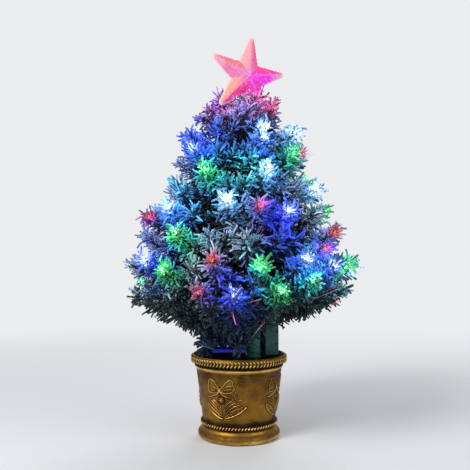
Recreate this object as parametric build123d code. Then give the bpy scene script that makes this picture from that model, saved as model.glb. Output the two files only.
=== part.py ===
from build123d import *
from dataclasses import dataclass
from math import atan2, ceil, cos, degrees, pi, radians, sin
import os

# Fibre optic christmas tree, 60 cm class. Millimetres, +Z up, origin at the middle of the foot
# ring's bottom face, front of the tree towards -Y. Azimuths are degrees from the front, to the right.

# Clearances and cuts
running_gap = 0.05
slide_gap = 0.3
seat_gap = 0.3
loose_gap = 0.15
cut_over = 1.0

# Pot
pot_wall = 2.2
foot_seat_r = 52.3
foot_contact_r = 57.4
foot_bulge_r = 61.0
foot_bulge_z = 5.6
foot_top_r = 58.4
foot_top_z = 11.5
cove_r = 54.6
cove_z = 15.6
neck_r = 53.6
neck_z = 19.6
rope_top_z = 25.6
rope_proud = 2.2
wall_low_r = 53.9
wall_high_r = 64.0
wall_high_z = 102.0
band_top_z = 107.4
band_proud = 2.3
rim_low_z = 109.0
rim_low_r = 64.8
rim_out_r = 71.5
rim_mid_z = 114.8
rim_top_z = 121.0
rim_top_r = 68.6
rim_in_r = 66.4
rim_in_z = 119.0

# Base cover and its seat in the foot
cover_low_z = 3.0
cover_t = 2.5
cover_gap = 0.3
ledge_t = 2.6
ledge_in_r = 49.4
boss_r = 4.2
base_boss_ring_r = 46.4
base_boss_top_z = 18.0
pilot_r = 1.35
screw_head_r = 3.0
screw_head_t = 1.8
screw_shank_r = 1.3
screw_hole_r = 1.7
screw_len = 11.0
screws_base = 3
vent_slots = 10
vent_in_r = 18.0
vent_out_r = 38.0
vent_w = 2.6

# Deck with the trunk socket
deck_low_z = 97.5
deck_t = 2.5
deck_ledge_w = 3.2
deck_ledge_t = 3.0
deck_gap = 0.4
deck_boss_drop = 16.0
screws_deck = 3
socket_wall = 3.0
socket_top_z = 109.0
socket_lip_w = 1.4
socket_lip_t = 2.0
socket_flange_w = 4.0
socket_flange_t = 2.0

# Trunk and fibres
trunk_r = 8.0
trunk_wall = 1.3
trunk_low_z = 64.0
trunk_top_z = 462.0
ferrule_wall = 1.0
ferrule_len = 18.0
bundle_top_z = 150.0
wrap_r = 12.0
wrap_low_z = 124.0
wrap_high_z = 150.0

# Lamp under the trunk
pedestal_w = 18.0
pedestal_d = 14.0
holder_low_z = 20.0
holder_w = 14.0
holder_d = 12.0
holder_h = 11.0
bulb_r = 4.5
bulb_h = 15.0
bulb_pin_r = 0.5
bulb_pin_spread = 2.0
bulb_pin_len = 7.0
reflector_neck_r = 6.4
reflector_wall = 1.2
reflector_r = 13.0
reflector_belly_share = 0.62
reflector_h = 21.0
glass_t = 2.0

# Motor and colour wheel
wheel_off_y = 22.0
motor_off_y = 30.0
motor_r = 14.0
motor_low_z = 32.0
motor_h = 18.0
ear_spread = 35.0
ear_w = 7.0
ear_t = 1.2
motor_bush_r = 4.5
motor_bush_h = 2.0
shaft_r = 2.0
shaft_depth = 5.0
wheel_low_z = 57.0
wheel_t = 1.6
wheel_r = 30.0
wheel_rim_w = 2.2
hub_r = 5.0
hub_h = 4.4
spoke_w = 2.4
filter_t = 0.8
filters = ("red", "green", "blue", "amber")
clip_r = 3.6
clip_t = 1.0

# Control board
board_w = 46.0
board_d = 24.0
board_t = 1.6
board_low_z = 14.0
board_off_y = -31.0
board_post_r = 2.4
board_post_inset = 4.0
capacitor_r = 4.0
capacitor_h = 12.0
capacitor_step = 10.0
chip_w = 10.0
chip_d = 7.0
chip_h = 3.0
terminal_w = 14.0
terminal_d = 7.0
terminal_h = 9.0

# Leads inside the pot: down the left side from the back, then over to the board's rear edge
inner_lead_r = 0.9
inner_lead_out = 3.0
inner_lead_pair = 4.0
way_azimuth = -112.0
way_step = 4.0
way_r = 46.0
way_low_z = 24.0
way_high_z = 64.0
way_rise = 3.0
deck_lead_drop = 4.0
landing_inset = 2.5
rear_landings = (-17.0, -20.0, -7.5, -4.0)
lamp_landings = (-11.0, -14.2)
motor_landings = (12.0, 15.0)
motor_lead_y = 21.0
motor_lead_turn_y = 12.0

# Service pad with the power jack and the switch, between two reliefs at the back
service_azimuth = -158.0
pad_w = 20.0
pad_h = 36.0
pad_proud = 0.9
pad_deep = 3.4
pad_mid_z = 75.0
jack_down = 8.6
jack_nose_r = 4.5
jack_bore_r = 2.85
jack_bore_deep = 9.0
jack_pin_r = 1.05
jack_pin_len = 8.0
jack_body_w = 11.0
jack_body_d = 12.0
switch_up = 8.2
switch_w = 8.6
switch_h = 13.0
switch_d = 12.0
bezel_over = 1.4
bezel_t = 1.2
switch_wall = 1.2
rocker_proud = 1.6
rocker_deep = 5.0
rocker_tilt = 9.0
rocker_belly_share = 0.8
pivot_r = 1.0

# Taped bundle and small box beside the trunk
tape_azimuth = 60.0
tape_r = 11.5
tape_low_z = 112.0
tape_high_z = 158.0
tape_ridge = 0.5
tape_turns = 5
box_w = 22.0
box_d = 15.0
box_h = 50.0
box_wall = 1.6
box_low_z = 119.0
box_mid_x = 46.0
box_mid_y = 1.0
box_turn = 22.0
lid_t = 2.0
lid_screw_spread = 18.0
lid_screw_r = 1.6
lid_screw_proud = 0.8
bracket_t = 2.0
bracket_h = 10.0
bracket_up = 2.0

# Lamp plug between the tree and the deck
plug_azimuth = 180.0
plug_r = 5.0
plug_mid_r = 26.0
plug_h = 13.0
plug_pin_r = 1.2
plug_pin_len = 4.5
plug_pin_spread = 4.4
lead_r = 1.3
lead_bend_r = 11.0
receptacle_w = 14.0
receptacle_d = 9.0
receptacle_h = 5.6

# Foliage: heights as shares of foliage_h above foliage_low_z, reaches as shares of foliage_r
foliage_low_z = 137.0
foliage_h = 377.0
foliage_r = 169.0
outline_height_shares = (0.0, 0.046, 0.085, 0.147, 0.205, 0.286, 0.366, 0.448, 0.509, 0.571,
                         0.653, 0.756, 0.859, 0.936, 1.0)
outline_reach_shares = (0.32, 0.53, 0.72, 0.92, 0.99, 1.0, 0.96, 0.87, 0.81, 0.73,
                        0.63, 0.56, 0.50, 0.32, 0.24)
tip_inset = 8.0
brush_r = 21.0
brush_gap = 0.5
brush_least_r = 3.6
brush_from_r = 19.0
core_share = 0.62
station_shares = (0.0, 0.30, 0.66, 1.0)
station_core_shares = (0.70, 0.95, 1.0, 0.60)
brush_sides = 6
strand_half_w = 2.1
strand_half_l = 2.6
strand_lean = 9.0
strand_out_share = 0.97
strand_faces = ((1, 1), (1, 4), (2, 2), (2, 5))
wire_w = 1.7
wire_seat = 1.0
root_step = 3.4
shelter_azimuth = 75.0
shelter_half_angle = 45.0
raised_root_share = 0.072
turn_sway = 2.6
turn_sway_step = 2.4
height_sway = 5.0
height_sway_step = 1.7

# Lamps
lamp_r = 2.5
lamp_h = 4.5
lamp_dome_r = 2.0
lamp_holder_r = 3.1
lamp_holder_h = 4.0

# Optical fibre strands that stand out between the needles
fibre_w = 1.1
fibre_over = 6.0
fibres_loose = 20
fibre_first_share = 0.12
fibre_last_share = 0.90
golden_turn = 137.5
fibre_slope_share = 0.40
fibre_turns = (0.0, -4.0, 4.0, -8.0, 8.0, -12.0, 12.0)
fibre_test_shares = (0.0, 0.06, 0.12, 0.25, 0.40, 0.55, 0.70, 0.85, 1.0)

# Star
star_mid = (12.0, 0.0, 540.4)
star_r = 64.0
star_valley_r = 28.4
star_lean = 8.0
star_turn = 23.0
star_half_t = 10.5
star_edge = 3.2
star_wall = 1.8
star_inset = 5.4
star_arms = 5
star_blunt = 7.0
peg_r = 2.0
peg_in = 16.0
star_socket_wall = 1.6
star_socket_low = 36.0
star_socket_high = 8.0
star_lamp_r = 2.4
star_lamp_h = 6.0
leader_bend_z = 470.0
leader_plug_h = 6.0


@dataclass
class Tier:
    """One row of branches: how many, the first one's azimuth, its root's and its tips' height."""
    count: int
    first: float
    root_share: float
    tip_share: float


# From the bottom fringe to the tuft round the star's stem
tiers = (
    Tier(9, 0.0, 0.022, 0.012),
    Tier(16, -3.1, 0.005, 0.205),
    Tier(18, 9.5, 0.085, 0.302),
    Tier(16, 3.0, 0.180, 0.412),
    Tier(14, -7.7, 0.285, 0.508),
    Tier(12, 20.8, 0.400, 0.625),
    Tier(10, 14.0, 0.520, 0.735),
    Tier(8, 23.4, 0.610, 0.825),
    Tier(5, 71.0, 0.735, 0.925),
    Tier(4, 68.0, 0.842, 0.995),
)
fringe_tier = 0
wire_groups = ("low", "low", "low", "low", "middle", "middle", "middle", "high", "high", "high")

# Lamps that show from the front: tier, azimuth, height share, colour
shown_lamps = (
    (1, -18.7, 0.215, "red"), (1, -3.1, 0.205, "white"), (1, 18.8, 0.218, "green"),
    (1, 35.6, 0.255, "green"),
    (2, -51.7, 0.320, "blue"), (2, -36.5, 0.287, "green"), (2, -12.3, 0.321, "red"),
    (2, 9.5, 0.302, "green"), (2, 32.5, 0.321, "blue"), (2, 50.9, 0.303, "blue"),
    (2, 70.0, 0.309, "white"),
    (3, -34.3, 0.415, "green"), (3, 45.2, 0.362, "red"), (3, 63.6, 0.421, "red"),
    (4, -67.0, 0.480, "red"), (4, -47.1, 0.510, "blue"), (4, -7.7, 0.526, "white"),
    (4, 11.5, 0.508, "red"), (4, 28.3, 0.492, "blue"),
    (5, -27.8, 0.649, "green"), (5, 20.8, 0.647, "white"), (5, 75.8, 0.594, "white"),
    (6, -45.3, 0.743, "blue"), (6, 55.2, 0.729, "green"),
    (7, 23.4, 0.804, "white"), (7, 81.8, 0.828, "white"),
    (8, 71.0, 0.925, "red"),
)
lamp_colours = ("white", "blue", "green", "red")
front_half_angle = 80.0


# Vector and placing helpers
def heading(azimuth, radius, height=0.0):
    """The point at an azimuth and a distance from the tree's axis."""
    return Vector(radius * sin(radians(azimuth)), -radius * cos(radians(azimuth)), height)


def upright(r, low, high):
    """A round bar on the tree's axis between two heights."""
    return Pos(0, 0, low) * Cylinder(r, high - low, align=(Align.CENTER, Align.CENTER, Align.MIN))


def block(w, d, low, high):
    """A rectangular bar on the tree's axis between two heights."""
    return Pos(0, 0, low) * Box(w, d, high - low, align=(Align.CENTER, Align.CENTER, Align.MIN))


def turned(points):
    """A solid of revolution about Z from a closed outline in the XZ plane."""
    outline = Polyline(*[(x, 0, z) for x, z in points], close=True)
    return revolve(make_face(outline), Axis.Z)


def polyhedron(faces):
    """A solid from flat faces, each an outline and the outlines of its holes."""
    made = []
    for outline, holes in faces:
        wires = [Wire.make_polygon(hole) for hole in holes]
        made.append(Face(Wire.make_polygon(outline), wires))
    return Solid(Shell(made))


def around(count, first=0.0):
    """Evenly spaced azimuths."""
    return [first + 360 * k / count for k in range(count)]


def between(low, high, share):
    return low + (high - low) * share


def save(name, shapes):
    """Write one node from one shape or a list of them."""
    solids = []
    for shape in shapes if isinstance(shapes, (list, tuple)) else [shapes]:
        solids += list(shape.solids())
    parts[name] = solids
    export_step(Compound(solids), f"parts/{name}.step")


# Pot
wall_low_z = rope_top_z
wall_slope = (wall_high_r - wall_low_r) / (wall_high_z - wall_low_z)
wall_angle = degrees(atan2(wall_high_r - wall_low_r, wall_high_z - wall_low_z))
cover_top_z = cover_low_z + cover_t
deck_top_z = deck_low_z + deck_t


def wall_out(z):
    """The plain wall's outer radius at a height."""
    return wall_low_r + (z - wall_low_z) * wall_slope


def wall_in(z):
    return wall_out(z) - pot_wall


def pot_outline():
    """The pot's section, from the foot ring up outside, over the rim and down inside."""
    ledge_top = cover_top_z + ledge_t
    rope_mid = (neck_z + rope_top_z) / 2
    band_mid = (wall_high_z + band_top_z) / 2
    lines = [
        Line((foot_seat_r, 0), (foot_contact_r, 0)),
        ThreePointArc((foot_contact_r, 0), (foot_bulge_r, foot_bulge_z), (foot_top_r, foot_top_z)),
        ThreePointArc((foot_top_r, foot_top_z), (cove_r, cove_z), (neck_r, neck_z)),
        ThreePointArc((neck_r, neck_z), (neck_r + rope_proud, rope_mid), (wall_low_r, rope_top_z)),
        Line((wall_low_r, rope_top_z), (wall_high_r, wall_high_z)),
        ThreePointArc((wall_high_r, wall_high_z), (wall_high_r + band_proud, band_mid),
                      (wall_out(band_top_z), band_top_z)),
        Line((wall_out(band_top_z), band_top_z), (rim_low_r, rim_low_z)),
        ThreePointArc((rim_low_r, rim_low_z), (rim_out_r, rim_mid_z), (rim_top_r, rim_top_z)),
        Line((rim_top_r, rim_top_z), (rim_in_r, rim_in_z)),
        Line((rim_in_r, rim_in_z), (wall_in(rim_low_z), rim_low_z)),
        Line((wall_in(rim_low_z), rim_low_z), (wall_in(deck_low_z), deck_low_z)),
        Line((wall_in(deck_low_z), deck_low_z), (wall_in(deck_low_z) - deck_ledge_w, deck_low_z)),
        Line((wall_in(deck_low_z) - deck_ledge_w, deck_low_z),
             (wall_in(deck_low_z - deck_ledge_t - deck_ledge_w),
              deck_low_z - deck_ledge_t - deck_ledge_w)),
        Line((wall_in(deck_low_z - deck_ledge_t - deck_ledge_w),
              deck_low_z - deck_ledge_t - deck_ledge_w), (wall_in(wall_low_z), wall_low_z)),
        Line((wall_in(wall_low_z), wall_low_z), (wall_in(wall_low_z), ledge_top)),
        Line((wall_in(wall_low_z), ledge_top), (ledge_in_r, ledge_top)),
        Line((ledge_in_r, ledge_top), (ledge_in_r, cover_top_z)),
        Line((ledge_in_r, cover_top_z), (foot_seat_r, cover_top_z)),
        Line((foot_seat_r, cover_top_z), (foot_seat_r, 0)),
    ]
    return make_face([Plane.XZ * line for line in lines])


def screw_boss(low, high):
    """A boss with a blind pilot hole, on the tree's axis."""
    return upright(boss_r, low, high)


def deck_boss_ring():
    return wall_in(deck_low_z) - deck_ledge_w - boss_r / 4


def service_plane():
    """The flat tangent plane of the wall at the service pad, Y up the slope, Z outwards."""
    at = heading(service_azimuth, wall_out(pad_mid_z), pad_mid_z)
    out = heading(service_azimuth, cos(radians(wall_angle)), -sin(radians(wall_angle)))
    side = heading(service_azimuth + 90, 1)
    return Plane(origin=at, x_dir=side, z_dir=out)


def service_pad():
    pad = Box(pad_w, pad_h, pad_proud + pad_deep, align=(Align.CENTER, Align.CENTER, Align.MAX))
    pad = fillet(pad.edges().filter_by(Axis.Z), pad_w / 4)
    return service_plane() * Pos(0, 0, pad_proud) * pad


def make_pot():
    shell = revolve(pot_outline(), Axis.Z)
    for azimuth in around(screws_base, 60):
        at = Pos(heading(azimuth, base_boss_ring_r))
        shell += at * screw_boss(cover_top_z, base_boss_top_z)
    for azimuth in around(screws_deck):
        at = Pos(heading(azimuth, deck_boss_ring()))
        shell += at * screw_boss(deck_low_z - deck_boss_drop, deck_low_z)
    shell += service_pad()
    for azimuth in around(screws_base, 60):
        at = Pos(heading(azimuth, base_boss_ring_r))
        shell -= at * upright(pilot_r, cover_top_z - cut_over, cover_top_z + screw_len)
    for azimuth in around(screws_deck):
        at = Pos(heading(azimuth, deck_boss_ring()))
        shell -= at * upright(pilot_r, deck_low_z - screw_len, deck_low_z + cut_over)
    through = pad_proud + pad_deep + cut_over
    nose = Cylinder(jack_nose_r + loose_gap, 2 * through)
    slot = Box(switch_w + 2 * loose_gap, switch_h + 2 * loose_gap, 2 * through)
    shell -= service_plane() * Pos(0, -jack_down, 0) * nose
    shell -= service_plane() * Pos(0, switch_up, 0) * slot
    return shell


# Base cover
def screw(low_z, down=False):
    """A pan-head screw on the tree's axis, its head's seat at low_z and its shank above it."""
    head = upright(screw_head_r, low_z - screw_head_t, low_z)
    shank = upright(screw_shank_r, low_z, low_z + screw_len)
    whole = head + shank
    return whole.mirror(Plane.XY.offset(low_z)) if down else whole


def motor_post_places():
    return [(x, motor_off_y) for x in (-ear_spread / 2, ear_spread / 2)]


def board_post_places():
    across = board_w / 2 - board_post_inset
    along = board_d / 2 - board_post_inset
    return [(x, board_off_y + y) for x in (-across, across) for y in (-along, along)]


def make_base_cover():
    cover = upright(foot_seat_r - cover_gap, cover_low_z, cover_top_z)
    ear_low_z = motor_low_z + motor_h - ear_t
    for x, y in motor_post_places():
        cover += Pos(x, y, 0) * upright(ear_w / 2, cover_top_z, ear_low_z)
    for x, y in board_post_places():
        cover += Pos(x, y, 0) * upright(board_post_r, cover_top_z, board_low_z)
    cover += block(pedestal_w, pedestal_d, cover_top_z, holder_low_z)
    for x, y in motor_post_places():
        cover -= Pos(x, y, 0) * upright(pilot_r, ear_low_z - screw_len, ear_low_z + cut_over)
    for azimuth in around(screws_base, 60):
        at = Pos(heading(azimuth, base_boss_ring_r))
        cover -= at * upright(screw_hole_r, cover_low_z - cut_over, cover_top_z + cut_over)
    slot_len = vent_out_r - vent_in_r
    slot = Pos((vent_in_r + vent_out_r) / 2, 0, cover_low_z + cover_t / 2) * Box(
        slot_len, vent_w, cover_t + 2 * cut_over)
    for azimuth in around(vent_slots, 18):
        if all((Rot(0, 0, azimuth) * slot).distance_to(post) > vent_w for post in cover_posts()):
            cover -= Rot(0, 0, azimuth) * slot
    return cover


def cover_posts():
    """The posts' outlines, which the vent slots keep clear of."""
    posts = [Pos(x, y, 0) * upright(ear_w / 2, cover_low_z, cover_top_z) for x, y in motor_post_places()]
    posts += [Pos(x, y, 0) * upright(board_post_r, cover_low_z, cover_top_z)
              for x, y in board_post_places()]
    return posts


def make_base_screws():
    return [Pos(heading(azimuth, base_boss_ring_r)) * screw(cover_low_z)
            for azimuth in around(screws_base, 60)]


# Deck with the trunk's socket
socket_bore_r = trunk_r + slide_gap
socket_r = socket_bore_r + socket_wall


def make_deck():
    """The disc that closes the pot below its rim, with holes for the trunk's socket and two leads."""
    deck = upright(wall_in(deck_low_z) - deck_gap, deck_low_z, deck_top_z)
    deck -= upright(socket_r + seat_gap, deck_low_z - cut_over, deck_top_z + cut_over)
    for place in plug_pin_places():
        deck -= plug_at() * place * upright(inner_lead_r + loose_gap, deck_low_z - cut_over,
                                            deck_top_z + cut_over)
    for azimuth in around(screws_deck):
        at = Pos(heading(azimuth, deck_boss_ring()))
        deck -= at * upright(screw_hole_r, deck_low_z - cut_over, deck_top_z + cut_over)
    return deck


def make_socket():
    """The sleeve that takes the trunk's lower end: a lip to stand it on and a flange on the deck."""
    flange_low = deck_top_z
    sleeve = upright(socket_r, trunk_low_z - socket_lip_t, socket_top_z)
    sleeve += upright(socket_r + socket_flange_w, flange_low, flange_low + socket_flange_t)
    sleeve -= upright(socket_bore_r, trunk_low_z, socket_top_z + cut_over)
    sleeve -= upright(trunk_r - socket_lip_w, trunk_low_z - socket_lip_t - cut_over, trunk_low_z + cut_over)
    return sleeve


def make_deck_screws():
    return [Pos(heading(azimuth, deck_boss_ring())) * screw(deck_top_z, down=True)
            for azimuth in around(screws_deck)]


def plug_at():
    return Pos(heading(plug_azimuth, plug_mid_r))


def plug_pin_places():
    return [Pos(x, 0, 0) for x in (-plug_pin_spread / 2, plug_pin_spread / 2)]


def make_receptacle():
    body = block(receptacle_w, receptacle_d, deck_top_z, deck_top_z + receptacle_h)
    body = fillet(body.edges().filter_by(Axis.Z), receptacle_d / 6)
    for place in plug_pin_places():
        body -= place * upright(plug_pin_r + slide_gap, deck_top_z + receptacle_h - plug_pin_len - cut_over,
                                deck_top_z + receptacle_h + cut_over)
    return plug_at() * body


def make_lamp_plug():
    low = deck_top_z + receptacle_h + seat_gap
    body = upright(plug_r, low, low + plug_h)
    body = fillet(body.edges().sort_by(Axis.Z)[-1], plug_r / 3)
    for place in plug_pin_places():
        body += place * upright(plug_pin_r, low - plug_pin_len, low + cut_over)
    return plug_at() * (body + plug_lead(low + plug_h))


def plug_lead(low):
    """The lead that bends from the plug's top to the tape round the trunk."""
    bend = revolve(Pos(0, 0, low) * Circle(lead_r), Axis((0, -lead_bend_r, low), (1, 0, 0)), 90)
    straight = plug_mid_r - lead_bend_r - wrap_r - seat_gap
    run = Cylinder(lead_r, straight, align=(Align.CENTER, Align.CENTER, Align.MIN))
    stub = upright(lead_r, low - cut_over, low)
    return bend + Pos(0, -lead_bend_r, low + lead_bend_r) * Rot(90, 0, 0) * run + stub


# Lamp under the trunk
holder_top_z = holder_low_z + holder_h
reflector_top_z = holder_top_z + reflector_h


def bulb_pin_places():
    return [Pos(x, 0, 0) for x in (-bulb_pin_spread, bulb_pin_spread)]


def make_lamp_holder():
    body = block(holder_w, holder_d, holder_low_z, holder_top_z)
    body = chamfer(body.edges().filter_by(Axis.Z), holder_d / 8)
    for place in bulb_pin_places():
        body -= place * upright(bulb_pin_r + loose_gap, holder_top_z - bulb_pin_len - loose_gap,
                                holder_top_z + cut_over)
    return body


def make_lamp_bulb():
    body = upright(bulb_r, holder_top_z, holder_top_z + bulb_h)
    body = fillet(body.edges().sort_by(Axis.Z)[-1], bulb_r / 2)
    for place in bulb_pin_places():
        body += place * upright(bulb_pin_r, holder_top_z - bulb_pin_len, holder_top_z)
    return body


def make_reflector():
    """A cup of revolution whose wall follows an arc from the neck to the mouth."""
    neck_in = reflector_neck_r - reflector_wall
    mouth_in = reflector_r - reflector_wall
    mid_z = holder_top_z + reflector_h / 3
    mid_in = between(neck_in, mouth_in, reflector_belly_share)
    lines = [
        Line((neck_in, holder_top_z), (reflector_neck_r, holder_top_z)),
        ThreePointArc((reflector_neck_r, holder_top_z), (mid_in + reflector_wall, mid_z),
                      (reflector_r, reflector_top_z)),
        Line((reflector_r, reflector_top_z), (mouth_in, reflector_top_z)),
        ThreePointArc((mouth_in, reflector_top_z), (mid_in, mid_z), (neck_in, holder_top_z)),
    ]
    return revolve(make_face([Plane.XZ * line for line in lines]), Axis.Z)


def make_lamp_glass():
    return upright(reflector_r, reflector_top_z, reflector_top_z + glass_t)


# Motor and colour wheel
motor_top_z = motor_low_z + motor_h
shaft_low_z = motor_top_z + motor_bush_h - shaft_depth
wheel_top_z = wheel_low_z + wheel_t
hub_top_z = wheel_low_z - hub_h / 4 + hub_h
wheel_at = Pos(0, wheel_off_y, 0)


def make_motor():
    can = Pos(0, motor_off_y, 0) * upright(motor_r, motor_low_z, motor_top_z)
    ears = Pos(0, motor_off_y, 0) * block(ear_spread, ear_w, motor_top_z - ear_t, motor_top_z)
    for x, y in motor_post_places():
        ears += Pos(x, y, 0) * upright(ear_w / 2, motor_top_z - ear_t, motor_top_z)
    can += ears
    can += wheel_at * upright(motor_bush_r, motor_top_z - cut_over, motor_top_z + motor_bush_h)
    can -= wheel_at * upright(shaft_r + running_gap, shaft_low_z - seat_gap,
                              motor_top_z + motor_bush_h + cut_over)
    for x, y in motor_post_places():
        can -= Pos(x, y, 0) * upright(screw_hole_r, motor_top_z - ear_t - cut_over, motor_top_z + cut_over)
    return can


def make_motor_screws():
    return [Pos(x, y, 0) * screw(motor_top_z, down=True) for x, y in motor_post_places()]


def make_motor_shaft():
    return wheel_at * upright(shaft_r, shaft_low_z, hub_top_z)


def make_wheel_frame():
    low = wheel_low_z
    frame = upright(wheel_r, low, wheel_top_z) - upright(wheel_r - wheel_rim_w, low - cut_over,
                                                        wheel_top_z + cut_over)
    frame += upright(hub_r, hub_top_z - hub_h, hub_top_z)
    inner = hub_r + wheel_rim_w
    frame += upright(inner, low, wheel_top_z)
    for azimuth in around(len(filters), 45):
        spoke = Pos((inner + wheel_r - wheel_rim_w) / 2, 0, 0) * block(
            wheel_r - wheel_rim_w - inner + wheel_rim_w, spoke_w, low, wheel_top_z)
        frame += Rot(0, 0, azimuth) * spoke
    frame -= upright(shaft_r + running_gap, hub_top_z - hub_h - cut_over, hub_top_z + cut_over)
    return wheel_at * frame


def make_filter(index):
    """A quarter sector of clear film between two spokes."""
    low = wheel_low_z + (wheel_t - filter_t) / 2
    inner = hub_r + wheel_rim_w + loose_gap
    outer = wheel_r - wheel_rim_w - loose_gap
    ring = upright(outer, low, low + filter_t) - upright(inner, low - cut_over, low + filter_t + cut_over)
    side = spoke_w / 2 + loose_gap
    keep = Rot(0, 0, 45) * Pos(side, side, low - cut_over) * Box(
        wheel_r, wheel_r, filter_t + 2 * cut_over, align=(Align.MIN, Align.MIN, Align.MIN))
    return wheel_at * Rot(0, 0, 360 * index / len(filters)) * (ring & keep)


def make_wheel_clip():
    return wheel_at * upright(clip_r, hub_top_z, hub_top_z + clip_t)


# Control board
def make_board():
    return Pos(0, board_off_y, 0) * block(board_w, board_d, board_low_z, board_low_z + board_t)


def make_board_parts():
    top = board_low_z + board_t
    pieces = []
    for x in (-board_w / 3, capacitor_step - board_w / 3):
        can = upright(capacitor_r, top, top + capacitor_h)
        pieces.append(Pos(x, board_off_y, 0) * fillet(can.edges().sort_by(Axis.Z)[-1], capacitor_r / 6))
    pieces.append(Pos(board_w / 8, board_off_y, 0) * block(chip_w, chip_d, top, top + chip_h))
    pieces.append(Pos(board_w / 3, board_off_y, 0) * block(terminal_d, terminal_w, top, top + terminal_h))
    return pieces


# Power jack and switch on the service pad
def make_jack():
    """A round nose through the pad, and a square body behind the wall with the socket bored in it."""
    back = -pad_deep - seat_gap
    nose = Cylinder(jack_nose_r, pad_proud - back, align=(Align.CENTER, Align.CENTER, Align.MAX))
    body = Box(jack_body_w, jack_body_w, jack_body_d, align=(Align.CENTER, Align.CENTER, Align.MAX))
    jack = Pos(0, 0, pad_proud) * nose + Pos(0, 0, back) * body
    bore = Cylinder(jack_bore_r, jack_bore_deep + cut_over, align=(Align.CENTER, Align.CENTER, Align.MIN))
    jack -= Pos(0, 0, pad_proud - jack_bore_deep) * bore
    pin = Cylinder(jack_pin_r, jack_pin_len, align=(Align.CENTER, Align.CENTER, Align.MIN))
    jack += Pos(0, 0, pad_proud - jack_bore_deep) * pin
    return service_plane() * Pos(0, -jack_down, 0) * jack


def switch_at():
    return service_plane() * Pos(0, switch_up, pad_proud)


def make_switch_case():
    case = Pos(0, 0, bezel_t) * Box(switch_w, switch_h, switch_d + bezel_t,
                                    align=(Align.CENTER, Align.CENTER, Align.MAX))
    case += Box(switch_w + 2 * bezel_over, switch_h + 2 * bezel_over, bezel_t,
                align=(Align.CENTER, Align.CENTER, Align.MIN))
    room = Box(switch_w - 2 * switch_wall, switch_h - 2 * switch_wall, rocker_deep + 2 * bezel_t + cut_over,
               align=(Align.CENTER, Align.CENTER, Align.MAX))
    case -= Pos(0, 0, bezel_t + cut_over) * room
    case -= Rot(0, 90, 0) * Cylinder(pivot_r + running_gap, switch_w - switch_wall)
    return switch_at() * case


def make_rocker():
    """A shallow V seen from the side, tipped to its on side, with a pivot pin across it."""
    half = switch_h / 2 - switch_wall - seat_gap
    width = switch_w - 2 * switch_wall - 2 * seat_gap
    top = bezel_t + rocker_proud
    belly = half * rocker_belly_share
    outline = [(-half, top), (0, bezel_t), (half, top), (belly, 0), (0, -pivot_r * 2), (-belly, 0)]
    body = extrude(Plane.YZ * make_face(Polyline(*outline, close=True)), width / 2, both=True)
    body += Rot(0, 90, 0) * Cylinder(pivot_r, switch_w - switch_wall - 2 * running_gap)
    return switch_at() * Rot(rocker_tilt, 0, 0) * body


# Leads inside the pot
board_top_z = board_low_z + board_t
landing_y = board_off_y + board_d / 2 - landing_inset


def lead(*points):
    """A lead in straight runs with round knees."""
    shapes = [Solid.make_cylinder(inner_lead_r, (end - start).length, Plane(start, z_dir=end - start))
              for start, end in zip(points, points[1:])]
    shapes += [Pos(knee) * Sphere(inner_lead_r) for knee in points[1:-1]]
    whole = shapes[0]
    for shape in shapes[1:]:
        whole += shape
    return whole


def to_board(x, z):
    """The last two corners of a lead that comes in over the board's rear edge."""
    return Vector(x, landing_y, z), Vector(x, landing_y, board_top_z)


def make_inner_leads():
    """The leads from the jack, switch, deck receptacle, lamp holder and motor to the board."""
    half = inner_lead_pair / 2
    jack_back = -pad_deep - seat_gap - jack_body_d
    switch_back = pad_proud - switch_d
    behind = jack_back - inner_lead_out
    at = service_plane().from_local_coords
    made = [lead(at(Vector(-half, switch_up, switch_back)), at(Vector(-half, switch_up, behind)),
                 at(Vector(-half, -jack_down, behind)), at(Vector(-half, -jack_down, jack_back)))]
    starts = [(at(Vector(half, y, back)), at(Vector(half, y, back - inner_lead_out)), way_high_z)
              for y, back in ((-jack_down, jack_back), (switch_up, switch_back))]
    for place in plug_pin_places():
        pin = (plug_at() * place).position
        turn_z = deck_low_z - deck_lead_drop - way_rise * len(starts)
        starts.append((pin + Vector(0, 0, deck_top_z), pin + Vector(0, 0, turn_z), turn_z))
    for number, ((start, out, high), x) in enumerate(zip(starts, rear_landings)):
        azimuth = way_azimuth + way_step * number
        low = way_low_z + way_rise * number
        made.append(lead(start, out, heading(azimuth, way_r, high), heading(azimuth, way_r, low),
                         *to_board(x, low)))
    for side, x in zip((-half, half), lamp_landings):
        z = way_low_z
        made.append(lead(Vector(-holder_w / 2, side, z), Vector(x, side, z), *to_board(x, z)))
    for number, (side, x) in enumerate(zip((-half, half), motor_landings)):
        z = motor_low_z - inner_lead_out - way_rise * number
        made.append(lead(Vector(side, motor_lead_y, motor_low_z), Vector(side, motor_lead_y, z),
                         Vector(x, motor_lead_turn_y, z), *to_board(x, z)))
    return made


# Trunk, ferrule and fibres
def make_trunk():
    tube = upright(trunk_r, trunk_low_z, trunk_top_z)
    return tube - upright(trunk_r - trunk_wall, trunk_low_z - cut_over, trunk_top_z + cut_over)


def make_ferrule():
    outer = trunk_r - trunk_wall - loose_gap
    ring = upright(outer, trunk_low_z, trunk_low_z + ferrule_len)
    return ring - upright(outer - ferrule_wall, trunk_low_z - cut_over, trunk_low_z + ferrule_len + cut_over)


def make_fibre_bundle():
    r = trunk_r - trunk_wall - 2 * loose_gap - ferrule_wall
    return upright(r, trunk_low_z + seat_gap, bundle_top_z)


def make_trunk_wrap():
    """Tape round the trunk's foot, where branch wires and fibres leave it."""
    return upright(wrap_r, wrap_low_z, wrap_high_z) - upright(trunk_r + loose_gap, wrap_low_z - cut_over,
                                                             wrap_high_z + cut_over)


tape_mid = heading(tape_azimuth, wrap_r + seat_gap + tape_r)


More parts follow.
